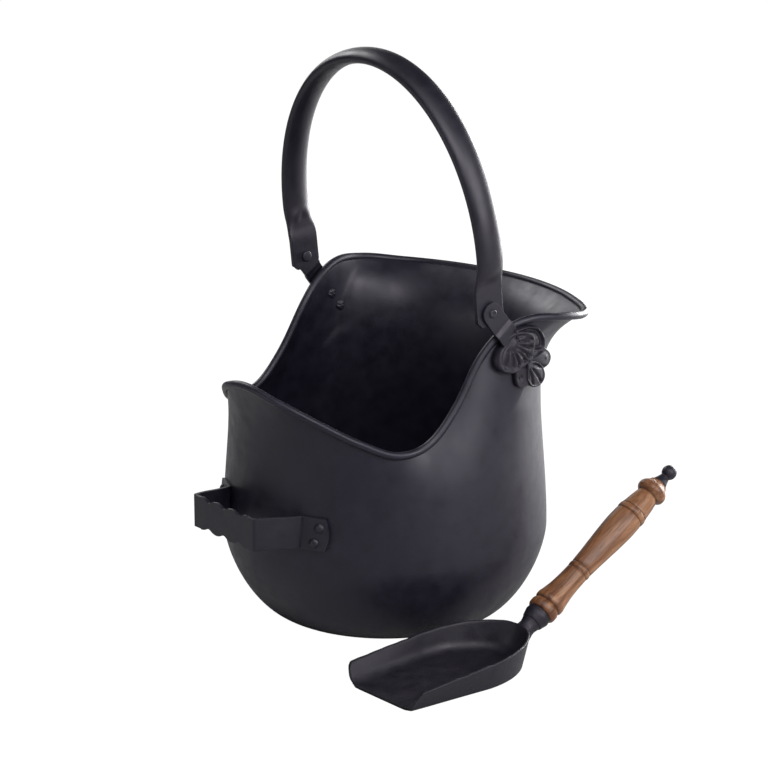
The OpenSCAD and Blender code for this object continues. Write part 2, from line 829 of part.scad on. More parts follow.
module shovel_pan() {
    color(cast_black)
        difference() {
            union() {
                shovel_frame()
                    pan_casting();
                handle_frame() {
                    translate([0, 0, -4])
                        cylinder(r1 = neck_r + 1.5, r2 = neck_r, h = 9, $fn = arc_fn);
                    cylinder(r1 = neck_r, r2 = neck_r + 1.4, h = ferrule_at, $fn = arc_fn);
                }
            }
            handle_frame()
                translate([0, 0, 1])
                    cylinder(r = tang_r + press_gap, h = ferrule_at, $fn = arc_fn);
        }
}

module shovel_ferrule() {
    color(cast_black)
        handle_frame()
            difference() {
                translate([0, 0, ferrule_at + 0.05])
                    union() {
                        cylinder(r1 = ferrule_r - 1.6, r2 = ferrule_r, h = ferrule_len / 2, $fn = arc_fn);
                        translate([0, 0, ferrule_len / 2])
                            cylinder(
                                r1 = ferrule_r, r2 = ferrule_r - 0.4, h = ferrule_len / 2 - 0.1,
                                $fn = arc_fn
                            );
                    }
                cylinder(r = tang_r + press_gap, h = grip_at + 5, $fn = arc_fn);
            }
}

// turned outline of the wood: distance from its start, radius
grip_outline = [
    [0, 12.2], [1.5, 13.4], [4, grip_r - 0.4], [7, grip_r - 0.4], [9, 13.1], [10.5, 12.9],
    [12.5, grip_r - 0.2], [16, grip_r - 0.2], [19, 13.3], [25, 12.1], [34, 11],
    [43, grip_waist_r + 0.1], [51, grip_waist_r], [52, grip_waist_r - 0.5],
    [53.5, grip_waist_r + 0.4], [56.5, grip_waist_r + 0.4], [58, grip_waist_r - 0.4],
    [59, grip_waist_r + 0.1], [65, 11], [76, 11.8], [88, 12.7], [100, 13.7],
    [108, grip_r - 0.1], [114, grip_r], [121, grip_r - 0.2], [126, grip_r - 0.4],
    [127, grip_r - 0.9], [128.5, grip_r], [131.5, grip_r - 0.1], [133, 13.2],
    [136, 13], [142, 12.1], [148, 11.4], [152, 10.7], [154, 10.3], [155, 10.6],
    [157, 12.3], [159, 13.6], [161.5, grip_r - 0.2], [164, 13.6], [166, 12.4], [168, 10.9]
];

module shovel_grip() {
    bore = tang_r + 0.05;
    stretch = grip_len / 170;
    color(walnut)
        handle_frame()
            translate([0, 0, grip_at])
                rotate_extrude($fn = arc_fn)
                    polygon(concat(
                        [[bore, 0]],
                        [for (p = grip_outline) [p[1], p[0] * stretch]],
                        [[9.6, grip_len - 0.1], [bore, grip_len - 0.1]]
                    ));
}

module shovel_tang() {
    color(rivet_black)
        handle_frame()
            translate([0, 0, 2])
                cylinder(r = tang_r, h = ball_at - 2, $fn = arc_fn);
}

module shovel_washer() {
    color(cast_black)
        handle_frame()
            translate([0, 0, washer_at])
                difference() {
                    union() {
                        cylinder(r1 = 6, r2 = 7.2, h = 4, $fn = arc_fn);
                        translate([0, 0, 4])
                            cylinder(r1 = 7.2, r2 = 5, h = washer_len - 4.1, $fn = arc_fn);
                    }
                    translate([0, 0, -1])
                        cylinder(r = tang_r + press_gap, h = washer_len + 2, $fn = arc_fn);
                }
}

module shovel_finial() {
    color(cast_black)
        handle_frame()
            difference() {
                intersection() {
                    translate([0, 0, ball_at])
                        sphere(r = ball_r, $fn = arc_fn);
                    translate([0, 0, washer_at + washer_len])
                        cylinder(r = ball_r + 1, h = 3 * ball_r, $fn = arc_fn);
                }
                translate([0, 0, washer_at])
                    cylinder(r = tang_r + press_gap, h = ball_at - washer_at + 0.1, $fn = arc_fn);
            }
}

// ---- assembly ------------------------------------------------------------------------------

body_shell();
rim_bead();
ear_left();
ear_right();
blossom_left();
blossom_right();
ear_rivets_left();
ear_rivets_right();
rear_handle();
handle_rivets_left();
handle_rivets_right();
bail();
bail_rivet_left();
bail_rivet_right();
shovel_pan();
shovel_ferrule();
shovel_grip();
shovel_tang();
shovel_washer();
shovel_finial();
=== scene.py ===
import math
import bpy
import bmesh
from mathutils import Matrix, Vector


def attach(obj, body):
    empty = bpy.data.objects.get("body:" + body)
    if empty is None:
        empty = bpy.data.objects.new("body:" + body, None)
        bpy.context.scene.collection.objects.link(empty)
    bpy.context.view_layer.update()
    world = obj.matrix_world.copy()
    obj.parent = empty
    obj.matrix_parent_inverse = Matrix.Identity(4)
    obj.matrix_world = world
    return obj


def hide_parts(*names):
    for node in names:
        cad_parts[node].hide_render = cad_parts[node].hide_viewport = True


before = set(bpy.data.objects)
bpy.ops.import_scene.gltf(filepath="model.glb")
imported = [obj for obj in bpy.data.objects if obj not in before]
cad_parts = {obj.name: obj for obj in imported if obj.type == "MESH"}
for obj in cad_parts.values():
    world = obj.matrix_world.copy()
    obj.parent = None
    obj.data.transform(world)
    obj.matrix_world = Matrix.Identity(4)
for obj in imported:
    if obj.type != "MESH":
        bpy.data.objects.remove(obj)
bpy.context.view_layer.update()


# ---- Bucket sheet ---------------------------------------------------------------------------
# The bucket is one skin of thin steel, raised into a pot belly with a small flat bottom. The front
# is drawn out into a high pouring lip, the rear into a lower peak, and both sides are cut down.
# The whole skin carries a soft black coat that shows the slight waviness of the beaten sheet.

SHEET = dict(base_r=100.0, belly_r=147.98, belly_z=78.0, curve=1.55, waist_r=140.5, waist_z=215.0,
             thick=2.0, mouth_z=140.0, lip_flare=7.0, side_draw=2.0, rear_flare=3.2, bead_r=3.6)

# mouth stations from the lip round to the rear: bearing, reach, height of the bead's middle
MOUTH = [(0, 174, 275), (25, 175, 276), (45, 178, 278), (58, 164, 285), (68, 146, 288), (78, 131, 279),
         (88, 124, 257), (100, 125, 218), (112, 131, 191), (124, 140, 184), (138, 141, 194),
         (152, 145, 209.5), (166, 154, 226), (180, 157, 235)]


def ease(low, high, value):
    """0 before low, 1 after high, and a smooth rise between them."""
    u = min(1.0, max(0.0, (value - low) / (high - low)))
    return u * u * (3 - 2 * u)


def mouth_station(i):
    """A station of the mouth, mirrored past the lip and past the rear."""
    last = len(MOUTH) - 1
    if i < 0:
        return (-MOUTH[-i][0],) + MOUTH[-i][1:]
    if i > last:
        return (360 - MOUTH[2 * last - i][0],) + MOUTH[2 * last - i][1:]
    return MOUTH[i]


def mouth_slope(i, k):
    """How fast value k (1 reach, 2 height) changes with the bearing at a station."""
    before, here, after = mouth_station(i - 1), mouth_station(i), mouth_station(i + 1)
    h0, h1 = here[0] - before[0], after[0] - here[0]
    return ((here[k] - before[k]) / h0 * h1 + (after[k] - here[k]) / h1 * h0) / (h0 + h1)


def mouth(bearing, k):
    """Reach (k 1) or height (k 2) of the bead's middle at a bearing, smooth through the stations."""
    bearing = abs(bearing)
    i = min(len(MOUTH) - 2, sum(1 for station in MOUTH if station[0] <= bearing) - 1)
    low, high = mouth_station(i), mouth_station(i + 1)
    h = high[0] - low[0]
    u = (bearing - low[0]) / h
    return ((1 + 2 * u) * (1 - u) ** 2 * low[k] + u * (1 - u) ** 2 * h * mouth_slope(i, k)
            + u * u * (3 - 2 * u) * high[k] + u * u * (u - 1) * h * mouth_slope(i + 1, k))


def round_r(z):
    """Outer radius of the round part of the sheet: a full curve to the belly, then in to the waist."""
    base, belly, curve = SHEET["base_r"], SHEET["belly_r"], SHEET["curve"]
    if z < SHEET["belly_z"]:
        rise = max(0.0, 1 - ((SHEET["belly_z"] - z) / SHEET["belly_z"]) ** curve)
        return base + (belly - base) * rise ** (1 / curve)
    return belly + (SHEET["waist_r"] - belly) * ease(SHEET["belly_z"], SHEET["waist_z"], z)


def wall_r(bearing, z):
    """Outer radius of the sheet at a bearing and a height, drawn out to the mouth's own reach."""
    bearing = abs(bearing)
    side, rear = ease(50, 80, bearing), ease(125, 165, bearing)
    power = (SHEET["lip_flare"] + (SHEET["side_draw"] - SHEET["lip_flare"]) * side
             + (SHEET["rear_flare"] - SHEET["side_draw"]) * rear)
    top = mouth(bearing, 2)
    share = max(0.0, (z - SHEET["mouth_z"]) / (top - SHEET["mouth_z"])) ** power
    return round_r(z) + (mouth(bearing, 1) - round_r(top)) * share


def sheet_top(bearing):
    """Height at which the sheet's edge lies inside the bead, square to the sloping rim."""
    top = mouth(bearing, 2)
    lean = wall_r(bearing, top) - wall_r(bearing, top - 1)
    run = 2 * mouth(bearing, 1) * math.pi / 180
    climb = (mouth(bearing + 1, 2) - mouth(bearing - 1, 2)) / run
    return top - (SHEET["bead_r"] - 0.6) * math.sqrt((1 + climb * climb) / (1 + lean * lean))


# the sheet is creased where the lip's flare leaves the flat side: bearing of the fold, height
FOLD = [(79, 200), (75.6, 209), (71.9, 217), (68.8, 226), (68, 240), (66.6, 252), (62.8, 271), (58.4, 284)]
# millimetres along the wall to a degree there, the hollow's depth and run, the ridge's height and run,
# and how softly the two meet
CREASE = dict(per_degree=2.3, hollow=1.7, hollow_run=11, ridge=0.7, ridge_run=7, soft=0.8)


def fold_lift(bearing, z):
    """The crease under each ear: a ridge behind, and a shallow hollow before it on the lip's side."""
    if z <= FOLD[0][1]:
        return 0.0
    k = max(i for i in range(len(FOLD) - 1) if z > FOLD[i][1])
    low, high = FOLD[k], FOLD[k + 1]
    u = min(1.3, (z - low[1]) / (high[1] - low[1]))
    off = ((low[0] + (high[0] - low[0]) * u) - abs(bearing)) * CREASE["per_degree"]
    ahead = 0.5 * (off + math.hypot(off, CREASE["soft"]))
    behind = ahead - off
    run = ahead / CREASE["hollow_run"]
    hollow = -CREASE["hollow"] * run * math.exp(1 - run)
    ridge = CREASE["ridge"] * math.exp(-behind / CREASE["ridge_run"]) * math.exp(-ahead / 5)
    # it fades out below the ear's foot and close under the bead
    return (hollow + ridge) * ease(199, 221, z) * (1 - ease(-18, -5, z - mouth(bearing, 2)))


def finish_piece(name, bm, material, body, nodes, angle=35, facing=None):
    """Turn a mesh in millimetres into a smooth piece in metres that rides on its body."""
    bmesh.ops.scale(bm, vec=(0.001, 0.001, 0.001), verts=bm.verts)
    bmesh.ops.recalc_face_normals(bm, faces=bm.faces)
    if facing is not None:
        # an open sheet has no inside of its own, so its drawn side is turned the right way
        turned = sum(face.normal.dot(facing(face.calc_center_median())) for face in bm.faces)
        if turned < 0:
            bmesh.ops.reverse_faces(bm, faces=bm.faces)
    mesh = bpy.data.meshes.new(name)
    bm.to_mesh(mesh)
    bm.free()
    for face in mesh.polygons:
        face.use_smooth = True
    mesh.set_sharp_from_angle(angle=math.radians(angle))
    piece = bpy.data.objects.new(name, mesh)
    bpy.context.scene.collection.objects.link(piece)
    mesh.materials.append(material)
    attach(piece, body)
    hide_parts(*nodes)
    return piece


def thicken(piece, thick, offset, even=False):
    """Give a drawn face its plate thickness: -1 puts it all behind the face, 0 half on each side."""
    plate = piece.modifiers.new("thickness", "SOLIDIFY")
    plate.thickness = thick * 0.001
    plate.offset = offset
    plate.use_even_offset = even


def add_noise(tree, scale, detail, rough, at):
    """A noise texture read at the given coordinates."""
    node = tree.nodes.new("ShaderNodeTexNoise")
    node.inputs["Scale"].default_value = scale
    node.inputs["Detail"].default_value = detail
    node.inputs["Roughness"].default_value = rough
    tree.links.new(at, node.inputs["Vector"])
    return node


def add_ramp(tree, stops, at):
    """A colour ramp through stops of (position, colour), read at the given value."""
    node = tree.nodes.new("ShaderNodeValToRGB")
    ramp = node.color_ramp
    for element, (position, colour) in ((ramp.elements[0], stops[0]), (ramp.elements[1], stops[-1])):
        element.position = position
        element.color = (*colour, 1)
    for position, colour in stops[1:-1]:
        ramp.elements.new(position).color = (*colour, 1)
    tree.links.new(at, node.inputs["Fac"])
    return node


def coat_group():
    """Black stoved coat on steel: broad waviness, cloudy mottle and a fine powdery grain."""
    group = bpy.data.node_groups.new("black_coat", "ShaderNodeTree")
    face = group.interface
    face.new_socket("Wave scale", in_out="INPUT", socket_type="NodeSocketFloat").default_value = 22
    face.new_socket("Grain scale", in_out="INPUT", socket_type="NodeSocketFloat").default_value = 900
    face.new_socket("Grain", in_out="INPUT", socket_type="NodeSocketFloat").default_value = 0.2
    face.new_socket("Stretch", in_out="INPUT", socket_type="NodeSocketVector").default_value = (1, 1, 1)
    face.new_socket("Cloud", in_out="OUTPUT", socket_type="NodeSocketFloat")
    face.new_socket("Height", in_out="OUTPUT", socket_type="NodeSocketFloat")
    given = group.nodes.new("NodeGroupInput")
    out = group.nodes.new("NodeGroupOutput")
    place = group.nodes.new("ShaderNodeTexCoord")
    drawn = group.nodes.new("ShaderNodeVectorMath")
    drawn.operation = "MULTIPLY"
    group.links.new(place.outputs["Object"], drawn.inputs[0])
    group.links.new(given.outputs["Stretch"], drawn.inputs[1])
    wave = add_noise(group, 22, 2, 0.4, drawn.outputs[0])
    cloud = add_noise(group, 70, 5, 0.6, place.outputs["Object"])
    grain = add_noise(group, 900, 3, 0.6, place.outputs["Object"])
    group.links.new(given.outputs["Wave scale"], wave.inputs["Scale"])
    group.links.new(given.outputs["Grain scale"], grain.inputs["Scale"])
    fine = group.nodes.new("ShaderNodeMath")
    fine.operation = "MULTIPLY"
    group.links.new(grain.outputs["Fac"], fine.inputs[0])
    group.links.new(given.outputs["Grain"], fine.inputs[1])
    total = group.nodes.new("ShaderNodeMath")
    total.operation = "ADD"
    group.links.new(wave.outputs["Fac"], total.inputs[0])
    group.links.new(fine.outputs[0], total.inputs[1])
    group.links.new(cloud.outputs["Fac"], out.inputs["Cloud"])
    group.links.new(total.outputs[0], out.inputs["Height"])
    return group


BLACK_COAT = coat_group()


def coated_steel(name, dark, pale, rough_low, rough_high, wave_scale, grain_scale, grain, bump, depth):
    """Black-coated metal: the coat's cloud shifts colour and gloss, its height bends the light."""
    mat = bpy.data.materials.new(name)
    mat.use_nodes = True
    tree = mat.node_tree
    shader = tree.nodes["Principled BSDF"]
    coat = tree.nodes.new("ShaderNodeGroup")
    coat.node_tree = BLACK_COAT
    coat.inputs["Wave scale"].default_value = wave_scale
    coat.inputs["Grain scale"].default_value = grain_scale
    coat.inputs["Grain"].default_value = grain
    tint = add_ramp(tree, [(0.3, dark), (0.75, pale)], coat.outputs["Cloud"])
    gloss = tree.nodes.new("ShaderNodeMapRange")
    gloss.inputs["From Min"].default_value = 0.3
    gloss.inputs["From Max"].default_value = 0.7
    gloss.inputs["To Min"].default_value = rough_low
    gloss.inputs["To Max"].default_value = rough_high
    relief = tree.nodes.new("ShaderNodeBump")
    relief.inputs["Strength"].default_value = bump
    relief.inputs["Distance"].default_value = depth
    tree.links.new(coat.outputs["Cloud"], gloss.inputs["Value"])
    tree.links.new(coat.outputs["Height"], relief.inputs["Height"])
    tree.links.new(tint.outputs["Color"], shader.inputs["Base Color"])
    tree.links.new(gloss.outputs["Result"], shader.inputs["Roughness"])
    tree.links.new(relief.outputs["Normal"], shader.inputs["Normal"])
    shader.inputs["Specular IOR Level"].default_value = 0.5
    shader.inputs["Specular Tint"].default_value = (0.96, 0.92, 1.0, 1)
    return mat


sheet_coat = coated_steel("sheet_coat", (0.0068, 0.006, 0.013), (0.0128, 0.0114, 0.0228),
                          0.38, 0.53, 26, 1300, 0.012, 0.5, 0.0016)
# the beaten sheet is drawn upward, so its waves run up the wall
sheet_coat.node_tree.nodes["Group"].inputs["Stretch"].default_value = (1, 1, 0.34)

FLAT_ROWS, CURVE_ROWS, BELLY_ROWS, MOUTH_ROWS, STRAIGHT_RISE = 8, 28, 16, 52, 100
bm = bmesh.new()
outline = [(SHEET["base_r"] * i / FLAT_ROWS, 0.0) for i in range(FLAT_ROWS)]
for i in range(CURVE_ROWS + 1):
    turn = math.radians(90 * i / CURVE_ROWS)
    swell = (SHEET["belly_r"] - SHEET["base_r"]) * math.sin(turn) ** (2 / SHEET["curve"])
    outline.append((SHEET["base_r"] + swell, SHEET["belly_z"] * (1 - math.cos(turn) ** (2 / SHEET["curve"]))))
for i in range(1, BELLY_ROWS + 1):
    z = SHEET["belly_z"] + (SHEET["mouth_z"] - SHEET["belly_z"]) * i / BELLY_ROWS
    outline.append((round_r(z), z))
# the rows above the belly rise straight at first, closer together near the rim, and are then
# stretched to the mouth's own height and reach at every bearing
for i in range(1, MOUTH_ROWS + 1):
    rise = STRAIGHT_RISE * (1 - (1 - i / MOUTH_ROWS) ** 1.35)
    outline.append((round_r(SHEET["mouth_z"]), SHEET["mouth_z"] + rise))
row = [bm.verts.new((r, 0, z)) for r, z in outline]
edges = [bm.edges.new(pair) for pair in zip(row, row[1:])]
bmesh.ops.spin(bm, geom=row + edges, cent=(0, 0, 0), axis=(0, 0, 1), angle=2 * math.pi, steps=360,
               use_merge=True)
bmesh.ops.remove_doubles(bm, verts=bm.verts, dist=0.01)
for v in bm.verts:
    if v.co.z > SHEET["mouth_z"] + 0.01:
        bearing = math.degrees(math.atan2(v.co.y, v.co.x))
        share = (v.co.z - SHEET["mouth_z"]) / STRAIGHT_RISE
        z = SHEET["mouth_z"] + share * (sheet_top(bearing) - SHEET["mouth_z"])
        r = wall_r(bearing, z) + fold_lift(bearing, z)
        v.co = (r * math.cos(math.radians(bearing)), r * math.sin(math.radians(bearing)), z)
body = finish_piece("bucket_sheet", bm, sheet_coat, "bucket", ["body_shell"], 60,
                    lambda c: Vector((c.x, c.y, -0.02)))
thicken(body, SHEET["thick"], -1, True)


# ---- Wired rim ------------------------------------------------------------------------------
# The edge of the sheet is rolled outward over a wire, which leaves a round bead about 7 mm thick
# all round the mouth and a narrow shadowed groove where the roll meets the wall.

RIM_SECTION, RIM_STEPS, RIM_TURN_R = 20, 300, 150


def rim_frame(bearing):
    """Middle of the bead at a bearing, its outward direction and its upward direction."""
    def at(b):
        b = (b + 180) % 360 - 180
        r = mouth(b, 1)
        return Vector((r * math.cos(math.radians(b)), r * math.sin(math.radians(b)), mouth(b, 2)))
    along = (at(bearing + 0.5) - at(bearing - 0.5)).normalized()
    out = along.cross(Vector((0, 0, 1))).normalized()
    return at(bearing), out, out.cross(along)


bm = bmesh.new()
bmesh.ops.create_circle(bm, segments=RIM_SECTION, radius=SHEET["bead_r"] - 0.04,
                        matrix=Matrix.Translation((RIM_TURN_R, 0, 0)) @ Matrix.Rotation(math.pi / 2, 4, "X"))
bmesh.ops.spin(bm, geom=bm.verts[:] + bm.edges[:], cent=(0, 0, 0), axis=(0, 0, 1),
               angle=2 * math.pi, steps=RIM_STEPS, use_merge=True)
bmesh.ops.remove_doubles(bm, verts=bm.verts, dist=0.01)
for v in bm.verts:
    middle, out, up = rim_frame(math.degrees(math.atan2(v.co.y, v.co.x)))
    v.co = middle + out * (math.hypot(v.co.x, v.co.y) - RIM_TURN_R) + up * v.co.z
finish_piece("rim_roll", bm, sheet_coat, "bucket", ["rim_bead"])


# ---- Ears -----------------------------------------------------------------------------------
# Each ear is a forged strap with a round eye for the bail's rivet. It runs down and forward over
# the bead and lies on the outside of the sheet, where two rivets hold it.

EAR = dict(pivot=(10.0, 0.0, 300.0), lean=38.0, width=20.0, thick=2.6, eye_y=132.04, over=134.2,
           foot_mid=62.0, foot_end=78.0, rivets=(54.0, 70.0))

forged_coat = coated_steel("forged_coat", (0.0085, 0.0076, 0.0135), (0.015, 0.0135, 0.0215),
                           0.42, 0.58, 60, 800, 0.25, 0.5, 0.0006)


def wall_y(across, up):
    """Distance of the sheet's outer face from the middle plane, at a point of the strap's frame."""
    lean = math.radians(EAR["lean"])
    x = EAR["pivot"][0] + across * math.cos(lean) - up * math.sin(lean)
    z = EAR["pivot"][2] + across * math.sin(lean) + up * math.cos(lean)
    y = 131.0
    for _ in range(6):
        r = wall_r(math.degrees(math.atan2(y, x)), z)
        y = math.sqrt(max(1.0, r * r - x * x))
    return y


def from_ear(across, out, up, side):
    """A point of the strap's frame (across, outward, up the strap) in the bucket's frame."""
    lean = math.radians(EAR["lean"])
    return Vector((EAR["pivot"][0] + across * math.cos(lean) - up * math.sin(lean), side * out,
                   EAR["pivot"][2] + across * math.sin(lean) + up * math.cos(lean)))


def strap_out(up):
    """Inner face of the strap down its length: eye, step over the bead, then the sheet."""
    foot = wall_y(0, min(up, -40)) + 0.5
    over = EAR["eye_y"] + (EAR["over"] - EAR["eye_y"]) * ease(-18, -23, up)
    return over + (foot - over) * ease(-33, -45, up)


def dress_edges(piece, width, segments):
    """Round every sharp edge of a piece a little, as filing or tumbling leaves it."""
    edge = piece.modifiers.new("dressed_edge", "BEVEL")
    edge.width = width * 0.001
    edge.segments = segments
    edge.limit_method = "ANGLE"
    edge.angle_limit = math.radians(50)


def ear_strap(name, side, node):
    """The strap's inner face from the round eye down to its foot, then its thickness outward."""
    bm = bmesh.new()
    bmesh.ops.create_grid(bm, x_segments=14, y_segments=90, size=0.5)
    for v in bm.verts:
        half = EAR["width"] / 2
        up = half - (half + EAR["foot_end"]) * (0.5 - v.co.y)
        if up > 0:
            half *= math.sqrt(max(0.0004, 1 - (up / half) ** 2))
        across = 2 * v.co.x * half
        v.co = from_ear(across, strap_out(up) + 0.02, up, side)
    piece = finish_piece(name, bm, forged_coat, "bucket", [node], 60,
                         lambda c: Vector((0, -side, 0)))
    thicken(piece, EAR["thick"], -1)
    dress_edges(piece, 0.5, 2)


ear_strap("ear_strap_left", 1, "ear_left")
ear_strap("ear_strap_right", -1, "ear_right")


# ---- Cast blossoms --------------------------------------------------------------------------
# A small iron casting covers each ear's foot. A fluted fan spreads from the strap over four soft
# petals, the lowest one curled over its neighbours, and the mould has left every edge rounded.

cast_coat = coated_steel("cast_coat", (0.008, 0.0072, 0.0125), (0.0145, 0.013, 0.0205),
                         0.45, 0.62, 130, 520, 0.5, 0.6, 0.0005)


FOOT = dict(out=wall_y(0, -EAR["foot_mid"]),
            tilt_x=(wall_y(8, -EAR["foot_mid"]) - wall_y(-8, -EAR["foot_mid"])) / 16,
            tilt_z=(wall_y(0, 12 - EAR["foot_mid"]) - wall_y(0, -12 - EAR["foot_mid"])) / 24)


def cast_ground(across, down):
    """The casting's own ground, between the flat plate it was cast as and the wall it lies on."""
    flat = FOOT["out"] + FOOT["tilt_x"] * across + FOOT["tilt_z"] * (EAR["foot_mid"] - down)
    return flat + (0.75 - 0.35 * ease(-8, 12, across)) * (wall_y(across, -down) - flat)


# outline (across, down the strap), middle, height of the edge, height of the crown, depth of the hollow
# round it, height of the border, and the directions of the grooves from the leaf's hub
HUB = (-3.2, 34.3)
LEAVES = [
    # ground plate that joins the petals
    dict(outline=[(-6.8, 34.0), (-17.4, 36.8), (-23.3, 43.3), (-21.4, 52.9), (-14.2, 61.1), (-17.0, 70.7),
                  (-9.3, 80.1), (-1.8, 86.5), (8.9, 84.6), (17.1, 82.7), (19.9, 76.2), (20.3, 64.2),
                  (22.4, 52.1), (17.6, 40.2), (6.7, 32.2)],
         middle=(0, 58), edge=3.4, crown=0.9, dish=0, border=0, grooves=[]),
    # petal behind the fan, along the rim
    dict(outline=[(5.8, 29.2), (12.8, 31.6), (18.8, 35.8), (24.2, 42.2), (27.4, 48.8), (28.0, 57.2),
                  (26.6, 64.8), (22.9, 70.1), (17.6, 68.4), (11.5, 62.3), (5.8, 52.1), (2.9, 39.3)],
         middle=(14.5, 50.0), edge=5.0, crown=0.9, dish=2.1, border=1.5, grooves=[]),
    # small petal under the fan
    dict(outline=[(-13.8, 58.5), (-18.2, 63.3), (-21.5, 69.2), (-21.3, 74.3), (-17.3, 78.8), (-12.7, 82.0),
                  (-6.8, 81.4), (-3.5, 74.2), (-5.8, 63.8)],
         middle=(-12.6, 70.5), edge=5.0, crown=0.3, dish=0, border=0, grooves=[], pit=(-15.0, 68.2, 2.6)),
    # petal toward the lip
    dict(outline=[(4.9, 55.4), (10.2, 58.6), (14.9, 64.5), (19.3, 68.8), (23.8, 73.1), (26.3, 81.4),
                  (25.3, 88.3), (20.4, 91.2), (14.0, 88.9), (8.3, 84.6), (2.5, 74.9), (0.4, 65.1),
                  (1.3, 58.1)],
         middle=(13.0, 74.0), edge=5.4, crown=1.9, dish=0.3, border=0.3, grooves=[22, 62],
         hub=(0.0, 62.0)),
    # lowest petal, curled over the others
    dict(outline=[(-4.9, 67.2), (-2.0, 63.9), (2.6, 64.3), (7.4, 69.4), (10.5, 77.4), (11.6, 86.1),
                  (9.8, 94.2), (5.0, 97.9), (-1.2, 97.1), (-7.3, 91.5), (-11.3, 82.4), (-10.6, 74.7)],
         middle=(-0.4, 80.5), edge=6.1, crown=1.5, dish=0.3, border=0.4, grooves=[58, 84, 108, 128],
         hub=(-1.0, 64.5)),
    # the fan that spreads from the strap: long ribs to the rear, short ones to the front
    dict(outline=[(-8.6, 31.8), (-13.1, 31.6), (-17.9, 32.8), (-22.3, 35.0), (-25.6, 38.2), (-27.1, 42.3),
                  (-26.3, 47.8), (-23.6, 53.2), (-19.6, 57.2), (-15.2, 59.6), (-11.0, 60.2), (-6.7, 61.3),
                  (-2.1, 62.8), (1.1, 61.7), (5.1, 62.3), (8.6, 60.7), (11.5, 58.4), (14.7, 55.7),
                  (17.4, 52.5), (18.9, 47.7), (17.8, 42.2), (14.3, 36.8), (9.4, 31.7), (3.8, 29.1),
                  (-2.7, 29.3)],
         middle=(-4.0, 44.5), edge=6.4, crown=1.9, dish=0.5, border=1.3, flow=2.4,
         grooves=[14, 38, 57, 75, 87, 106, 124, 148], hub=HUB),
]
# small cast beads where ribs end
BEADS = [(15.8, 46.3), (12.6, 51.2), (5.8, 54.6), (-16.0, 53.6), (18.7, 79.3)]
CAST = dict(groove_deep=2.3, groove_wide=1.3, bead_high=0.9, bead_wide=1.5, pit_deep=2.2, edge_drop=1.6)


def outline_point(points, u):
    """A point of the smooth closed curve through the outline's points, u from 0 to 1."""
    n = len(points)
    i, f = int(u * n) % n, (u * n) % 1
    before, here, ahead, beyond = [Vector(points[(i + k - 1) % n]) for k in range(4)]
    return 0.5 * (2 * here + (ahead - before) * f + (2 * before - 5 * here + 4 * ahead - beyond) * f * f
                  + (3 * here - before - 3 * ahead + beyond) * f ** 3)


def leaf_height(leaf, spot, t):
    """Height of a leaf's face: crown, hollow, raised border, grooves fanning from the hub, beads."""
    high = leaf["crown"] * (1 - t ** 2.2) - leaf["dish"] * ease(0.4, 0.72, t) * (1 - ease(0.78, 0.9, t))
    high += leaf["border"] * ease(0.72, 0.86, t) * (1 - ease(0.94, 1.0, t))
    for groove in leaf["grooves"]:
        hub = leaf["hub"]
        reach = (Vector(spot) - Vector(hub)).length
        heading = math.degrees(math.atan2(spot[1] - hub[1], spot[0] - hub[0]))
        off = (heading - groove + 180) % 360 - 180
        cut = math.exp(-(math.radians(off) * max(reach, 7) / CAST["groove_wide"]) ** 2)
        high -= CAST["groove_deep"] * cut * ease(3, 9, reach) * (1 - ease(0.76, 0.93, t))
    for bead in BEADS:
        away = (Vector(spot) - Vector(bead)).length
        high += CAST["bead_high"] * math.exp(-(away / CAST["bead_wide"]) ** 2)
    if "pit" in leaf:
        away = (Vector(spot) - Vector(leaf["pit"][:2])).length
        high -= CAST["pit_deep"] * math.exp(-(away / leaf["pit"][2]) ** 2)
    # toward the strap the fan sinks until it lies flush with the strap's face
    high -= leaf.get("flow", 0) * (1 - ease(29, 40, spot[1])) * math.exp(-((spot[0] + 1) / 13) ** 4)
    return high - CAST["edge_drop"] * max(0.0, (t - 0.88) / 0.12) ** 2.2


def add_leaf(bm, leaf, side):
    """One closed leaf: a polar net from the middle of its face over the edge to its back."""
    around, front, back = 96, 26, 6
    made = bmesh.ops.create_grid(bm, x_segments=around, y_segments=front + back, size=0.5)["verts"]
    middle = Vector(leaf["middle"])
    for v in made:
        rim = outline_point(leaf["outline"], (v.co.x + 0.5) % 1)
        j = (v.co.y + 0.5) * (front + back)
        if j <= front:
            t = (j / front) ** 0.85
            spot = middle + (rim - middle) * t
            level = leaf["edge"] + leaf_height(leaf, spot, t)
        else:
            k = (j - front) / back
            spot = middle + (rim - middle) * (1 - 0.02 * min(1, k * 2) - 0.98 * max(0, 2 * k - 1))
            level = max(0.9, leaf["edge"] - 1.5 - 9 * k)
        v.co = from_ear(spot.x, cast_ground(spot.x, spot.y) + level, -spot.y, side)


def cast_blossom(name, side, node):
    """All leaves of one ornament, on the side given by 1 or -1."""
    bm = bmesh.new()
    for leaf in LEAVES:
        add_leaf(bm, leaf, side)
    bmesh.ops.remove_doubles(bm, verts=bm.verts, dist=0.003)
    finish_piece(name, bm, cast_coat, "bucket", [node], 70)


cast_blossom("blossom_cast_left", 1, "blossom_left")
cast_blossom("blossom_cast_right", -1, "blossom_right")


# ---- Rivets ---------------------------------------------------------------------------------
# The bail swings on two short rivets with flat pan heads inside and hollow-peened tails outside.
# The ears' rivets are hammered nearly flat inside the sheet, which leaves rough low marks. The
# rear handle's four rivets have round heads.

rivet_coat = coated_steel("rivet_coat", (0.0085, 0.0076, 0.0135), (0.015, 0.0135, 0.0215),
                          0.40, 0.54, 200, 900, 0.2, 0.4, 0.0003)


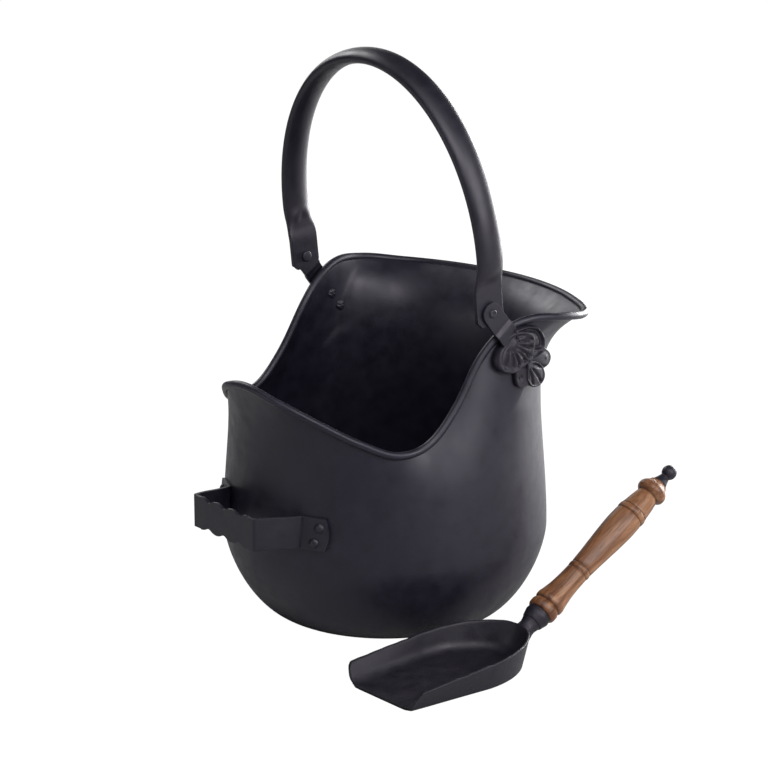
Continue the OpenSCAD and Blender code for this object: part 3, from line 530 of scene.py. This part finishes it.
def add_rivet(bm, profile, base, axis, steps=40, rough=0.0):
    """Spin a profile of (height along the axis, radius) at a place; rough is the hammer's unevenness."""
    turn = axis.to_track_quat("Z", "Y").to_matrix().to_4x4()
    row = [bm.verts.new((r, 0, h)) for h, r in profile]
    edges = [bm.edges.new(pair) for pair in zip(row, row[1:])]
    old = set(bm.verts) - set(row)
    bmesh.ops.spin(bm, geom=row + edges, cent=(0, 0, 0), axis=(0, 0, 1), angle=2 * math.pi,
                   steps=steps, use_merge=True)
    bmesh.ops.remove_doubles(bm, verts=[v for v in bm.verts if v not in old], dist=0.005)
    for v in bm.verts:
        if v not in old:
            a = math.atan2(v.co.y, v.co.x)
            r = math.hypot(v.co.x, v.co.y)
            v.co.z += rough * math.sin(3 * a + 1.3) * math.sin(r * 1.1) + rough * 0.6 * math.sin(5 * a)
            v.co = turn @ v.co + base


PIN_HEAD_Y = 124.72     # distance of a bail rivet's start from the middle plane
for name, side in (("bail_rivet_left", 1), ("bail_rivet_right", -1)):
    bm = bmesh.new()
    head = Vector(EAR["pivot"]) + Vector((0, side * PIN_HEAD_Y, 0))
    add_rivet(bm, [(0.7, 0), (0.7, 3.9), (0.85, 4.6), (1.3, 5.1), (2.0, 5.2), (2.7, 5.1), (2.75, 3.05),
                   (9.9, 3.0), (9.95, 3.9), (10.3, 4.0), (10.9, 3.7), (11.3, 2.9), (11.2, 2.1),
                   (10.9, 1.3), (10.8, 0)], head, Vector((0, side, 0)))
    finish_piece(name + "_steel", bm, rivet_coat, "bucket", [name], 40)

for name, side in (("ear_rivets_left", 1), ("ear_rivets_right", -1)):
    bm = bmesh.new()
    for down in EAR["rivets"]:
        foot = from_ear(0, wall_y(0, -down), -down, side)
        beside = from_ear(3, wall_y(3, -down), -down, side) - foot
        above = from_ear(0, wall_y(0, 3 - down), 3 - down, side) - foot
        out = beside.cross(above).normalized()
        out = out if out.y * side > 0 else -out
        add_rivet(bm, [(-3.3, 0), (-3.25, 1.2), (-3.1, 2.4), (-2.75, 3.7), (-2.2, 4.7), (-1.6, 5.2),
                       (-1.0, 5.0), (-0.9, 2.2), (6.0, 2.1), (6.2, 0)], foot, out, 36, 0.28)
    finish_piece(name + "_steel", bm, sheet_coat, "bucket", [name], 60)



def coat_node(name, material):
    """Give a node that keeps its own shape its finish."""
    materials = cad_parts[name].data.materials
    materials.clear()
    materials.append(material)


coat_node("handle_rivets_left", rivet_coat)
coat_node("handle_rivets_right", rivet_coat)


# ---- Rear handle ----------------------------------------------------------------------------
# The tipping handle is one strip of steel bent into a bracket. Its grip bar is cut into four
# finger lobes along both edges, its arms slope down to the wall and its round-ended tabs are
# curved to the belly and held by two rivets each.

# arm and tab are bearings from the rear, where the arm meets the wall and where the tab ends
STRIP = dict(bar_x=184.0, bar_len=90.0, top_z=126.0, width=29.5, thick=3.0, rise=4.0, arm=20.5, tab=31.5,
             end_r=30.0, gap=0.25)
# the path's steps: half the bar, then the arm, whose last step is the bend; a lobe is 45 steps long
BAR, ARM, LOBE = 88, 60, 45
BEND, TAB = BAR + ARM, 24


def strip_path():
    """Middle of the strip seen from above, from the bar's middle to the bend."""
    wall = round_r(STRIP["top_z"] - STRIP["width"] / 2) + STRIP["gap"] + STRIP["thick"] / 2
    corner = Vector((-STRIP["bar_x"] + STRIP["thick"] / 2, STRIP["bar_len"] / 2 - STRIP["thick"] / 2))
    arm = math.radians(STRIP["arm"])
    bend = Vector((-wall * math.cos(arm), wall * math.sin(arm)))
    path = [Vector((corner.x, y * corner.y / BAR)) for y in range(BAR + 1)]
    path += [corner.lerp(bend, i / ARM) for i in range(1, ARM + 1)]
    for i in range(1, 4):
        beyond = math.radians(STRIP["arm"] + i * 0.2)
        path.append(Vector((-wall * math.cos(beyond), wall * math.sin(beyond))))
    # both corners are rounded a little, as a strip bends over a former
    soft = []
    for i, spot in enumerate(path):
        near = path[i - 2:i + 3] if BAR - 4 < i < BAR + 5 or BEND - 4 < i < BEND + 2 else [spot]
        soft.append(sum(near, Vector((0, 0))) / len(near))
    return soft[:BEND + 1]


def strip_half_height(k):
    """Half height of the strip: finger lobes on the bar, plain ends, arms and tabs."""
    lobe = k / LOBE
    if lobe < 1.5:
        off = lobe - math.floor(lobe) - 0.5
        # the cusp between two lobes is filed a little round
        cusp = 0.8 * math.exp(-((abs(off) - 0.5) / 0.05) ** 2)
        return STRIP["width"] / 2 + 0.5 - 16 * off * off + cusp
    return STRIP["width"] / 2


handle_coat = coated_steel("handle_coat", (0.0078, 0.007, 0.013), (0.0135, 0.0122, 0.021),
                           0.38, 0.52, 80, 900, 0.15, 0.4, 0.0005)
path = strip_path()
bm = bmesh.new()
bmesh.ops.create_grid(bm, x_segments=2 * (BEND + TAB), y_segments=24, size=0.5)
for v in bm.verts:
    k = round(abs(v.co.x) * 2 * (BEND + TAB))
    side = 1 if v.co.x >= 0 else -1
    lift = STRIP["rise"] * (1 - ease(BAR, BEND, k))
    z = STRIP["top_z"] - STRIP["width"] / 2 + lift + 2 * v.co.y * strip_half_height(k)
    if k <= BEND:
        spot = path[k]
    else:
        # the tab leans with the belly and ends in a shallow curve, a hair off the wall
        r = round_r(z) + STRIP["gap"] + STRIP["thick"] / 2 + 0.4 * ease(BEND + 15, BEND + TAB, k)
        drop = STRIP["end_r"] - math.sqrt(STRIP["end_r"] ** 2 - (v.co.y * STRIP["width"]) ** 2)
        end = STRIP["tab"] - math.degrees(drop / r)
        a = math.radians(STRIP["arm"] + (end - STRIP["arm"]) * (k - BEND) / TAB)
        spot = Vector((-r * math.cos(a), r * math.sin(a)))
    v.co = (spot.x, side * spot.y, z)
piece = finish_piece("rear_handle_strip", bm, handle_coat, "bucket", ["rear_handle"], 60)
thicken(piece, STRIP["thick"], 0)
dress_edges(piece, 0.9, 3)


# ---- Bail -----------------------------------------------------------------------------------
# The carrying hoop is steel tube flattened to an oval and bent to a tall arch. Each end is
# pressed flat, with clipped lower corners, and swings on a rivet inside its ear.

BAIL = dict(half_w=136.0, rise=160.0, leg=50.0, end=11.0, bend_from=15.5, tube_a=13.9, tube_b=6.85,
            flat_a=15.0, flat_t=4.2, flat_y=129.64, lean=6.3)
tube_coat = coated_steel("tube_coat", (0.0085, 0.0076, 0.0135), (0.014, 0.0125, 0.021),
                         0.36, 0.48, 30, 1200, 0.01, 0.4, 0.001)


def bail_point(t):
    """Middle of the bail in its upright plane: t from 0 at the right end to 1 at the left end."""
    end, leg, half_w, rise = BAIL["end"], BAIL["leg"], BAIL["half_w"], BAIL["rise"]
    arc = 0.5 * math.pi * math.sqrt((half_w ** 2 + rise ** 2) / 2)
    total = 2 * (end + leg + arc)
    run = t * total
    side = -1 if run < total / 2 else 1
    run = min(run, total - run)
    if run < end + leg:
        h = run - end
        return side * (BAIL["flat_y"] + (half_w - BAIL["flat_y"]) * ease(BAIL["bend_from"], leg, h)), h
    turn = (run - end - leg) / arc * math.pi / 2
    return side * half_w * math.cos(turn), leg + rise * math.sin(turn)


RINGS = 280
bm = bmesh.new()
ring = bmesh.ops.create_circle(bm, segments=80, radius=1)["verts"]
edges = list({e for v in ring for e in v.link_edges})
for i in range(RINGS):
    made = bmesh.ops.extrude_edge_only(bm, edges=edges)["geom"]
    verts = [g for g in made if isinstance(g, bmesh.types.BMVert)]
    edges = [g for g in made if isinstance(g, bmesh.types.BMEdge)]
    bmesh.ops.translate(bm, vec=(0, 0, 1), verts=verts)
ends = [e for e in bm.edges if e.is_boundary]
bmesh.ops.holes_fill(bm, edges=ends, sides=90)
lean = Matrix.Rotation(-math.radians(BAIL["lean"]), 4, "Y")
for v in bm.verts:
    t = v.co.z / RINGS
    y, h = bail_point(t)
    y0, h0 = bail_point(max(0, t - 0.002))
    y1, h1 = bail_point(min(1, t + 0.002))
    along = Vector((0, y1 - y0, h1 - h0)).normalized()
    inward = along.cross(Vector((1, 0, 0)))
    # half width and half thickness: the tube is pressed flat between 46 and 24 mm above the rivet
    wide = BAIL["flat_a"] + (BAIL["tube_a"] - BAIL["flat_a"]) * ease(24, 46, h)
    wide -= 4.5 * (1 - ease(-BAIL["end"], -6, h))
    thick = BAIL["flat_t"] / 2 + (BAIL["tube_b"] - BAIL["flat_t"] / 2) * ease(25, 42, h)
    # the section goes from an oval to a bar with square edges
    power = 0.15 + 0.85 * ease(22, 36, h)
    across, deep = v.co.x, v.co.y
    # the press has left a dent in the tube's inner side
    dent = 1.5 * math.exp(-((h - 37) / 5.5) ** 2 - ((across - 0.12) / 0.4) ** 2) if deep > 0 else 0
    across = math.copysign(abs(across) ** power, across) if abs(across) > 1e-6 else 0
    deep = math.copysign(abs(deep) ** power, deep) if abs(deep) > 1e-6 else 0
    spot = Vector((0, y, h)) + Vector((1, 0, 0)) * wide * across + inward * (thick * deep - dent)
    v.co = lean @ spot + Vector(EAR["pivot"])
finish_piece("bail_hoop", bm, tube_coat, "bail", ["bail"], 40)


# ---- Shovel pan -----------------------------------------------------------------------------
# The shovel's pan is one iron casting: a flat floor, low sides that run together in a round back,
# and a stubby neck that takes the handle. Its inside corners are soft and its rim a little rough.

PAN = dict(x=-156.5, y=-182.0, yaw=1.0, length=162.0, side=87.0, front_hw=39.0, back_hw=46.0,
           rim_hw=48.5, front_h=18.0, back_h=28.0, thick=3.0, heel=2.2, soft=9.0,
           pitch=31.2, axis_z=18.5, axis_s=3.5)
pan_coat = coated_steel("pan_coat", (0.0068, 0.0062, 0.0112), (0.014, 0.0128, 0.0195),
                        0.44, 0.62, 90, 650, 0.45, 0.55, 0.0006)


def on_shovel(s, t, z):
    """A point of the shovel's own frame (along, to the left, up) on the floor beside the bucket."""
    yaw = math.radians(PAN["yaw"])
    return Vector((PAN["x"] + s * math.cos(yaw) - t * math.sin(yaw),
                   PAN["y"] + s * math.sin(yaw) + t * math.cos(yaw), z))


def pan_outline(u, front_s, back_s, front_hw, back_hw):
    """Half outline of the pan: straight side for the first half of u, then round to the back."""
    if u < 0.5:
        return front_s + (PAN["side"] - front_s) * 2 * u, front_hw + (back_hw - front_hw) * 2 * u
    a = math.pi * (u - 0.5)
    return PAN["side"] + (back_s - PAN["side"]) * math.sin(a), back_hw * math.cos(a)


def corner_point(start, corner, end, f):
    """A point of the round that replaces a corner between two points beside it."""
    return (1 - f) ** 2 * start + 2 * f * (1 - f) * corner + f * f * end


def pan_section(u):
    """One section of the casting, from under the spine over the rim and back to the spine's top."""
    def rim_at(share):
        return Vector(pan_outline(share, 5, PAN["length"], PAN["rim_hw"], PAN["rim_hw"] + 0.5))
    floor = Vector(pan_outline(u, 0, PAN["length"] - 9, PAN["front_hw"], PAN["back_hw"]))
    rim = rim_at(u)
    along = (rim_at(min(1, u + 0.004)) - rim_at(max(0, u - 0.004))).normalized()
    inward = Vector((along.y, -along.x))
    top = PAN["front_h"] + (PAN["back_h"] - PAN["front_h"]) * rim.x / PAN["length"]
    spine = Vector((floor.x * 0.72, 0, 0))
    foot, lip = Vector((*floor, 0)), Vector((*rim, top))
    inner = inward.to_3d() * PAN["thick"]
    rise = (lip - foot).normalized()
    heel, soft = PAN["heel"], PAN["soft"]
    points = [spine.lerp(foot, k / 6) for k in range(6)]
    run = (foot - spine).normalized()
    for k in range(5):
        points.append(corner_point(foot - run * heel, foot, foot + rise * heel, k / 4))
    points += [(foot + rise * heel).lerp(lip - rise * 1.5, k / 8) for k in range(1, 9)]
    for k in range(1, 8):
        a = math.pi * k / 8
        points.append(lip - rise * 1.5 + inner * (0.5 - 0.5 * math.cos(a)) + rise * 1.5 * math.sin(a))
    low_in = foot + inner + Vector((0, 0, PAN["thick"]))
    start = low_in + rise * soft
    points += [(lip + inner - rise * 1.5).lerp(start, k / 8) for k in range(8)]
    for k in range(9):
        points.append(corner_point(start, low_in, low_in - run * soft, k / 8))
    crown = spine + Vector((0, 0, PAN["thick"]))
    points += [(low_in - run * soft).lerp(crown, k / 12) for k in range(1, 13)]
    return points


ROUND = 132
bm = bmesh.new()
rows = [pan_section(1 - abs(1 - 2 * i / ROUND)) for i in range(ROUND + 1)]
last = len(rows[0]) - 1
bmesh.ops.create_grid(bm, x_segments=ROUND, y_segments=last, size=0.5)
for v in bm.verts:
    i = round((v.co.x + 0.5) * ROUND)
    spot = rows[i][round((v.co.y + 0.5) * last)]
    side = 1 if i > ROUND / 2 else -1
    u = 1 - abs(1 - 2 * i / ROUND)
    if u < 0.25:
        # the free corners at the mouth are worn round, below at the floor and above at the rim
        foot, top = rows[i][8], max(point.z for point in rows[i])
        low = max(0.0, 1 - (spot - foot).length / 9)
        high = max(0.0, 1 - (top - spot.z) / 5)
        pull = (3.6 * low ** 2 + 3.4 * high ** 2) * max(0.0, 1 - u / 0.1)
        spot = spot + Vector((pull, 0, 0))
    # the rim is a little uneven as cast and worn low at one place of its far side
    crest = max(point.z for point in rows[i])
    rough = 0.12 * math.sin(i * 0.9) + 0.12 * math.sin(i * 0.43 + 2)
    if side > 0:
        rough -= 0.5 * math.exp(-((spot.x - 72) / 4) ** 2)
    spot = spot + Vector((0, 0, rough * max(0.0, 1 - (crest - spot.z) / 4)))
    v.co = on_shovel(spot.x, side * spot.y, spot.z)
bmesh.ops.remove_doubles(bm, verts=bm.verts, dist=0.02)
bmesh.ops.holes_fill(bm, edges=[e for e in bm.edges if e.is_boundary], sides=0)
piece = finish_piece("shovel_pan_cast", bm, pan_coat, "shovel", ["shovel_pan"], 50)
dress_edges(piece, 0.9, 3)


def on_handle(bm, profile, steps):
    """Spin a profile of (distance along the handle, radius) about the handle's own axis."""
    pitch = math.radians(PAN["pitch"])
    start = on_shovel(PAN["length"] + PAN["axis_s"], 0, PAN["axis_z"])
    ahead = (on_shovel(1, 0, 0) - on_shovel(0, 0, 0)).normalized()
    along = ahead * math.cos(pitch) + Vector((0, 0, 1)) * math.sin(pitch)
    beside = Vector((0, 0, 1)).cross(ahead)
    row = [bm.verts.new(start + along * d + beside * r) for d, r in profile]
    edges = [bm.edges.new(pair) for pair in zip(row, row[1:])]
    bmesh.ops.spin(bm, geom=row + edges, cent=start, axis=along, angle=2 * math.pi, steps=steps,
                   use_merge=True)
    bmesh.ops.remove_doubles(bm, verts=bm.verts, dist=0.005)


bm = bmesh.new()
on_handle(bm, [(-3.4, 0.0), (-3.4, 8.4), (-1.5, 9.4), (1, 8.9), (4, 8.1), (7, 7.8), (10, 8.4), (12.6, 9.2),
               (13, 8.9), (13, 0.0)], 48)
finish_piece("shovel_neck", bm, pan_coat, "shovel", ["shovel_pan"], 40)


# ---- Shovel ferrule and end fittings --------------------------------------------------------
# A dark cast ferrule caps the wood where it meets the neck. A rod runs through the wood and ends
# in a tapering collar and a ball nut.

bm = bmesh.new()
on_handle(bm, [(13.05, 0.0), (13.05, 9.6), (14, 10.2), (16, 10.7), (18, 11.3), (20, 11.9), (21.5, 11.9),
               (23, 11.5), (24.6, 11.3), (24.9, 10.9), (24.9, 0.0)], 64)
finish_piece("ferrule_cast", bm, cast_coat, "shovel", ["shovel_ferrule"], 40)
bm = bmesh.new()
on_handle(bm, [(195.05, 0.0), (195.05, 6.8), (195.5, 7.15), (196.5, 7.15), (198.2, 6.5), (200.5, 5.6),
               (203, 4.8), (205, 4.3), (205, 0.0)], 48)
finish_piece("end_collar", bm, cast_coat, "shovel", ["shovel_washer"], 40)
bm = bmesh.new()
BALL = dict(middle=210.9, radius=6.88, foot=205.05, foot_angle=148, steps=30)
ball = [(BALL["foot"], 0.0)]
for i in range(BALL["steps"] + 1):
    turn = math.radians(BALL["foot_angle"] * (1 - i / BALL["steps"]))
    ball.append((BALL["middle"] + BALL["radius"] * math.cos(turn), BALL["radius"] * math.sin(turn)))
on_handle(bm, ball, 48)
finish_piece("ball_nut", bm, cast_coat, "shovel", ["shovel_finial"], 40)
coat_node("shovel_tang", rivet_coat)


# ---- Shovel grip ----------------------------------------------------------------------------
# The grip is turned from a brown hardwood with open dark grain and an oiled finish: beads and a
# cove by the ferrule, a slim waist, a long swell, two pairs of scored lines and an end bead.

GRIP = [(0, 12.2), (0.6, 12.9), (1.6, 13.5), (3, 13.8), (5.5, 13.85), (7, 13.7), (8.4, 13.1), (9.3, 12.3),
        (10.1, 12.1), (10.8, 12.9), (11.6, 13.8), (12.8, 14.0), (15.2, 14.0), (16.4, 13.7), (18, 13.3),
        (21, 12.7), (25, 12.1), (29, 11.5), (34, 11.05), (39, 10.75), (44, 10.55), (49, 10.5), (50.8, 10.5),
        (51.4, 10.1), (52, 9.95), (52.6, 10.15), (53.2, 10.7), (55, 10.95), (56.8, 10.75), (57.4, 10.2),
        (58, 10.05), (58.6, 10.25), (59.2, 10.6), (62, 10.8), (67, 11.1), (73, 11.5), (80, 12.05),
        (88, 12.65), (96, 13.25), (104, 13.75), (111, 14.1), (116, 14.15), (121, 14.0), (125, 13.85),
        (126.2, 13.6), (126.8, 13.25), (127.4, 13.6), (128, 14.0), (130, 14.2), (132, 14.0), (132.6, 13.5),
        (133.2, 13.1), (133.8, 13.35), (136, 12.95), (140, 12.4), (145, 11.85), (149, 11.2), (152, 10.7),
        (153.4, 10.2), (154.4, 9.9), (155.2, 11.2), (156.4, 13.0), (158, 13.9), (160, 14.1), (162, 13.8),
        (163.8, 12.9), (165.4, 11.5), (167, 10.1), (168.4, 9.2), (169.6, 8.8)]

# dark scored lines, and painted shade in the cove by the ferrule and the groove before the end bead: place
# along the grip, half width, how dark
DARK_LINES_AND_SHADED_COVES = [(9.9, 1.5, 0.3), (51.9, 0.9, 0.25), (57.9, 0.9, 0.25), (126.8, 0.9, 0.25), (133.2, 0.9, 0.25),
         (154.0, 1.8, 0.3)]
GRIP_START, GRIP_LEN = 25.0, 170


def multiply(tree, one, other):
    """One colour darkened by another."""
    node = tree.nodes.new("ShaderNodeMix")
    node.data_type = "RGBA"
    node.blend_type = "MULTIPLY"
    node.inputs["Factor"].default_value = 1
    tree.links.new(one, node.inputs[6])
    tree.links.new(other, node.inputs[7])
    return node.outputs[2]


wood = bpy.data.materials.new("turned_hardwood")
wood.use_nodes = True
tree = wood.node_tree
shader = tree.nodes["Principled BSDF"]
place = tree.nodes.new("ShaderNodeTexCoord")
# the grain follows the handle: its frame is turned onto the handle's own axis
lie = tree.nodes.new("ShaderNodeMapping")
lie.vector_type = "TEXTURE"
origin = on_shovel(PAN["length"] + PAN["axis_s"], 0, PAN["axis_z"]) * 0.001
lie.inputs["Location"].default_value = origin
lie.inputs["Rotation"].default_value = (0, math.radians(90 - PAN["pitch"]), math.radians(PAN["yaw"]))
tree.links.new(place.outputs["Object"], lie.inputs["Vector"])
stretch = tree.nodes.new("ShaderNodeMapping")
stretch.inputs["Scale"].default_value = (1, 1, 0.09)
tree.links.new(lie.outputs["Vector"], stretch.inputs["Vector"])
figure = add_noise(tree, 110, 6, 0.62, stretch.outputs["Vector"])
figure.inputs["Distortion"].default_value = 0.8
colour = add_ramp(tree, [(0.33, (0.105, 0.038, 0.017)), (0.5, (0.235, 0.1, 0.043)), (0.68, (0.39, 0.2, 0.1))],
                  figure.outputs["Fac"])
# open pores: short dark dashes along the grain
pore_place = tree.nodes.new("ShaderNodeMapping")
pore_place.inputs["Scale"].default_value = (1, 1, 0.045)
tree.links.new(lie.outputs["Vector"], pore_place.inputs["Vector"])
pores = add_noise(tree, 900, 2, 0.5, pore_place.outputs["Vector"])
pore_mask = add_ramp(tree, [(0.34, (0.6, 0.5, 0.44)), (0.44, (1, 1, 1))], pores.outputs["Fac"])
pored = multiply(tree, colour.outputs["Color"], pore_mask.outputs["Color"])
# the scored lines are dark, the cove by the ferrule and the groove before the end bead get painted shade, and
# the wood is darker toward both ends
along = tree.nodes.new("ShaderNodeSeparateXYZ")
tree.links.new(lie.outputs["Vector"], along.inputs["Vector"])
travel = tree.nodes.new("ShaderNodeMapRange")
travel.inputs["From Min"].default_value = GRIP_START * 0.001
travel.inputs["From Max"].default_value = (GRIP_START + GRIP_LEN) * 0.001
tree.links.new(along.outputs["Z"], travel.inputs["Value"])
bands = [(0.0, (0.62, 0.52, 0.46))]
for middle, half, shade in DARK_LINES_AND_SHADED_COVES:
    for off, value in ((-half, 1.0), (0.0, shade), (half, 1.0)):
        dark = (value, value * (0.85 + 0.15 * value), value * (0.75 + 0.25 * value))
        bands.append(((middle + off) / GRIP_LEN, dark))
bands.append((1.0, (0.8, 0.7, 0.62)))
dark_lines_and_cove_shade = add_ramp(tree, bands, travel.outputs["Result"])
tree.links.new(multiply(tree, pored, dark_lines_and_cove_shade.outputs["Color"]), shader.inputs["Base Color"])
relief = tree.nodes.new("ShaderNodeBump")
relief.inputs["Strength"].default_value = 0.2
relief.inputs["Distance"].default_value = 0.0002
tree.links.new(pore_mask.outputs["Color"], relief.inputs["Height"])
tree.links.new(relief.outputs["Normal"], shader.inputs["Normal"])
sheen = tree.nodes.new("ShaderNodeMapRange")
sheen.inputs["To Min"].default_value = 0.36
sheen.inputs["To Max"].default_value = 0.5
tree.links.new(figure.outputs["Fac"], sheen.inputs["Value"])
tree.links.new(sheen.outputs["Result"], shader.inputs["Roughness"])

bm = bmesh.new()
on_handle(bm, [(GRIP_START, 0.0)] + [(GRIP_START + d, r) for d, r in GRIP] + [(194.7, 0.0)], 96)
finish_piece("turned_grip", bm, wood, "shovel", ["shovel_grip"], 50)


# ---- Studio ---------------------------------------------------------------------------------
# A pale floor that runs off white behind the object, wide soft lights above and all round it, and
# the camera at the photograph's own viewing angle with a long lens.

VIEW = dict(azimuth=-39.47, elevation=16.75, distance=2.71686, aside=-0.001, height=0.20718, lens=140.6)
azimuth, elevation = math.radians(VIEW["azimuth"]), math.radians(VIEW["elevation"])
back = Vector((math.sin(azimuth) * math.cos(elevation), -math.cos(azimuth) * math.cos(elevation),
               math.sin(elevation)))
right = Vector((math.cos(azimuth), math.sin(azimuth), 0))
above = back.cross(right)
eye = (right * VIEW["aside"]) + Vector((0, 0, VIEW["height"])) + back * VIEW["distance"]
lens = bpy.data.cameras.new("studio_camera")
lens.lens = VIEW["lens"]
lens.sensor_width = 36
lens.clip_end = 30
camera = bpy.data.objects.new("studio_camera", lens)
camera.matrix_world = Matrix(((right.x, above.x, back.x, eye.x), (right.y, above.y, back.y, eye.y),
                              (right.z, above.z, back.z, eye.z), (0, 0, 0, 1)))
bpy.context.scene.collection.objects.link(camera)
bpy.context.scene.camera = camera

bm = bmesh.new()
bmesh.ops.create_grid(bm, x_segments=1, y_segments=1, size=9)
mesh = bpy.data.meshes.new("studio_floor")
bm.to_mesh(mesh)
bm.free()
floor = bpy.data.objects.new("studio_floor", mesh)
bpy.context.scene.collection.objects.link(floor)
paper = bpy.data.materials.new("pale_floor")
paper.use_nodes = True
tree = paper.node_tree
tree.nodes.remove(tree.nodes["Principled BSDF"])
matte = tree.nodes.new("ShaderNodeBsdfDiffuse")
matte.inputs["Color"].default_value = (0.5, 0.5, 0.5, 1)
white = tree.nodes.new("ShaderNodeEmission")
white.inputs["Strength"].default_value = 1.11
seen = tree.nodes.new("ShaderNodeLightPath")
share = tree.nodes.new("ShaderNodeMath")
share.operation = "MULTIPLY"
share.inputs[1].default_value = 0.9
tree.links.new(seen.outputs["Is Camera Ray"], share.inputs[0])
mix = tree.nodes.new("ShaderNodeMixShader")
tree.links.new(share.outputs[0], mix.inputs[0])
tree.links.new(matte.outputs[0], mix.inputs[1])
tree.links.new(white.outputs[0], mix.inputs[2])
tree.links.new(mix.outputs[0], tree.nodes["Material Output"].inputs["Surface"])
mesh.materials.append(paper)

sky = bpy.data.worlds.new("studio_sky")
sky.use_nodes = True
tree = sky.node_tree
dome = tree.nodes["Background"]
dome.inputs["Color"].default_value = (1, 1, 1, 1)
seen = tree.nodes.new("ShaderNodeLightPath")
level = tree.nodes.new("ShaderNodeMapRange")
level.inputs["To Min"].default_value = 0.05
level.inputs["To Max"].default_value = 1.0
tree.links.new(seen.outputs["Is Camera Ray"], level.inputs["Value"])
tree.links.new(level.outputs["Result"], dome.inputs["Strength"])
bpy.context.scene.world = sky

# each light's place to the right, toward the camera and up, the height it is aimed at, size, power
LIGHTS = dict(rear_left_light=((-1.05, -1.4, 1.5), 0.3, (0.9, 0.9), 18),
              back_light=((-0.5, -2.2, 0.8), 0.2, (1.4, 0.5), 4),
              rear_right_light=((1.1, -1.1, 0.4), 0.15, (1.2, 0.6), 40),
              right_light=((1.6, 1.2, 1.0), 0.2, (1.2, 1.2), 27),
              top_light=((0.0, 0.9, 2.0), 0.2, (1.6, 1.6), 9),
              front_light=((0.5, 1.7, 1.8), 0.2, (1.4, 1.0), 21),
              low_light=((-1.9, 0.9, 0.5), 0.2, (1.0, 0.8), 5))

front = Vector((back.x, back.y, 0)).normalized()
for name, (steps, aim, size, power) in LIGHTS.items():
    lamp = bpy.data.lights.new(name, "AREA")
    lamp.shape = "RECTANGLE"
    lamp.size, lamp.size_y = size
    lamp.energy = power
    holder = bpy.data.objects.new(name, lamp)
    holder.location = right * steps[0] + front * steps[1] + Vector((0, 0, steps[2]))
    holder.rotation_euler = (Vector((0, 0, aim)) - holder.location).to_track_quat("-Z", "Y").to_euler()
    bpy.context.scene.collection.objects.link(holder)

bpy.context.scene.view_settings.view_transform = "Standard"
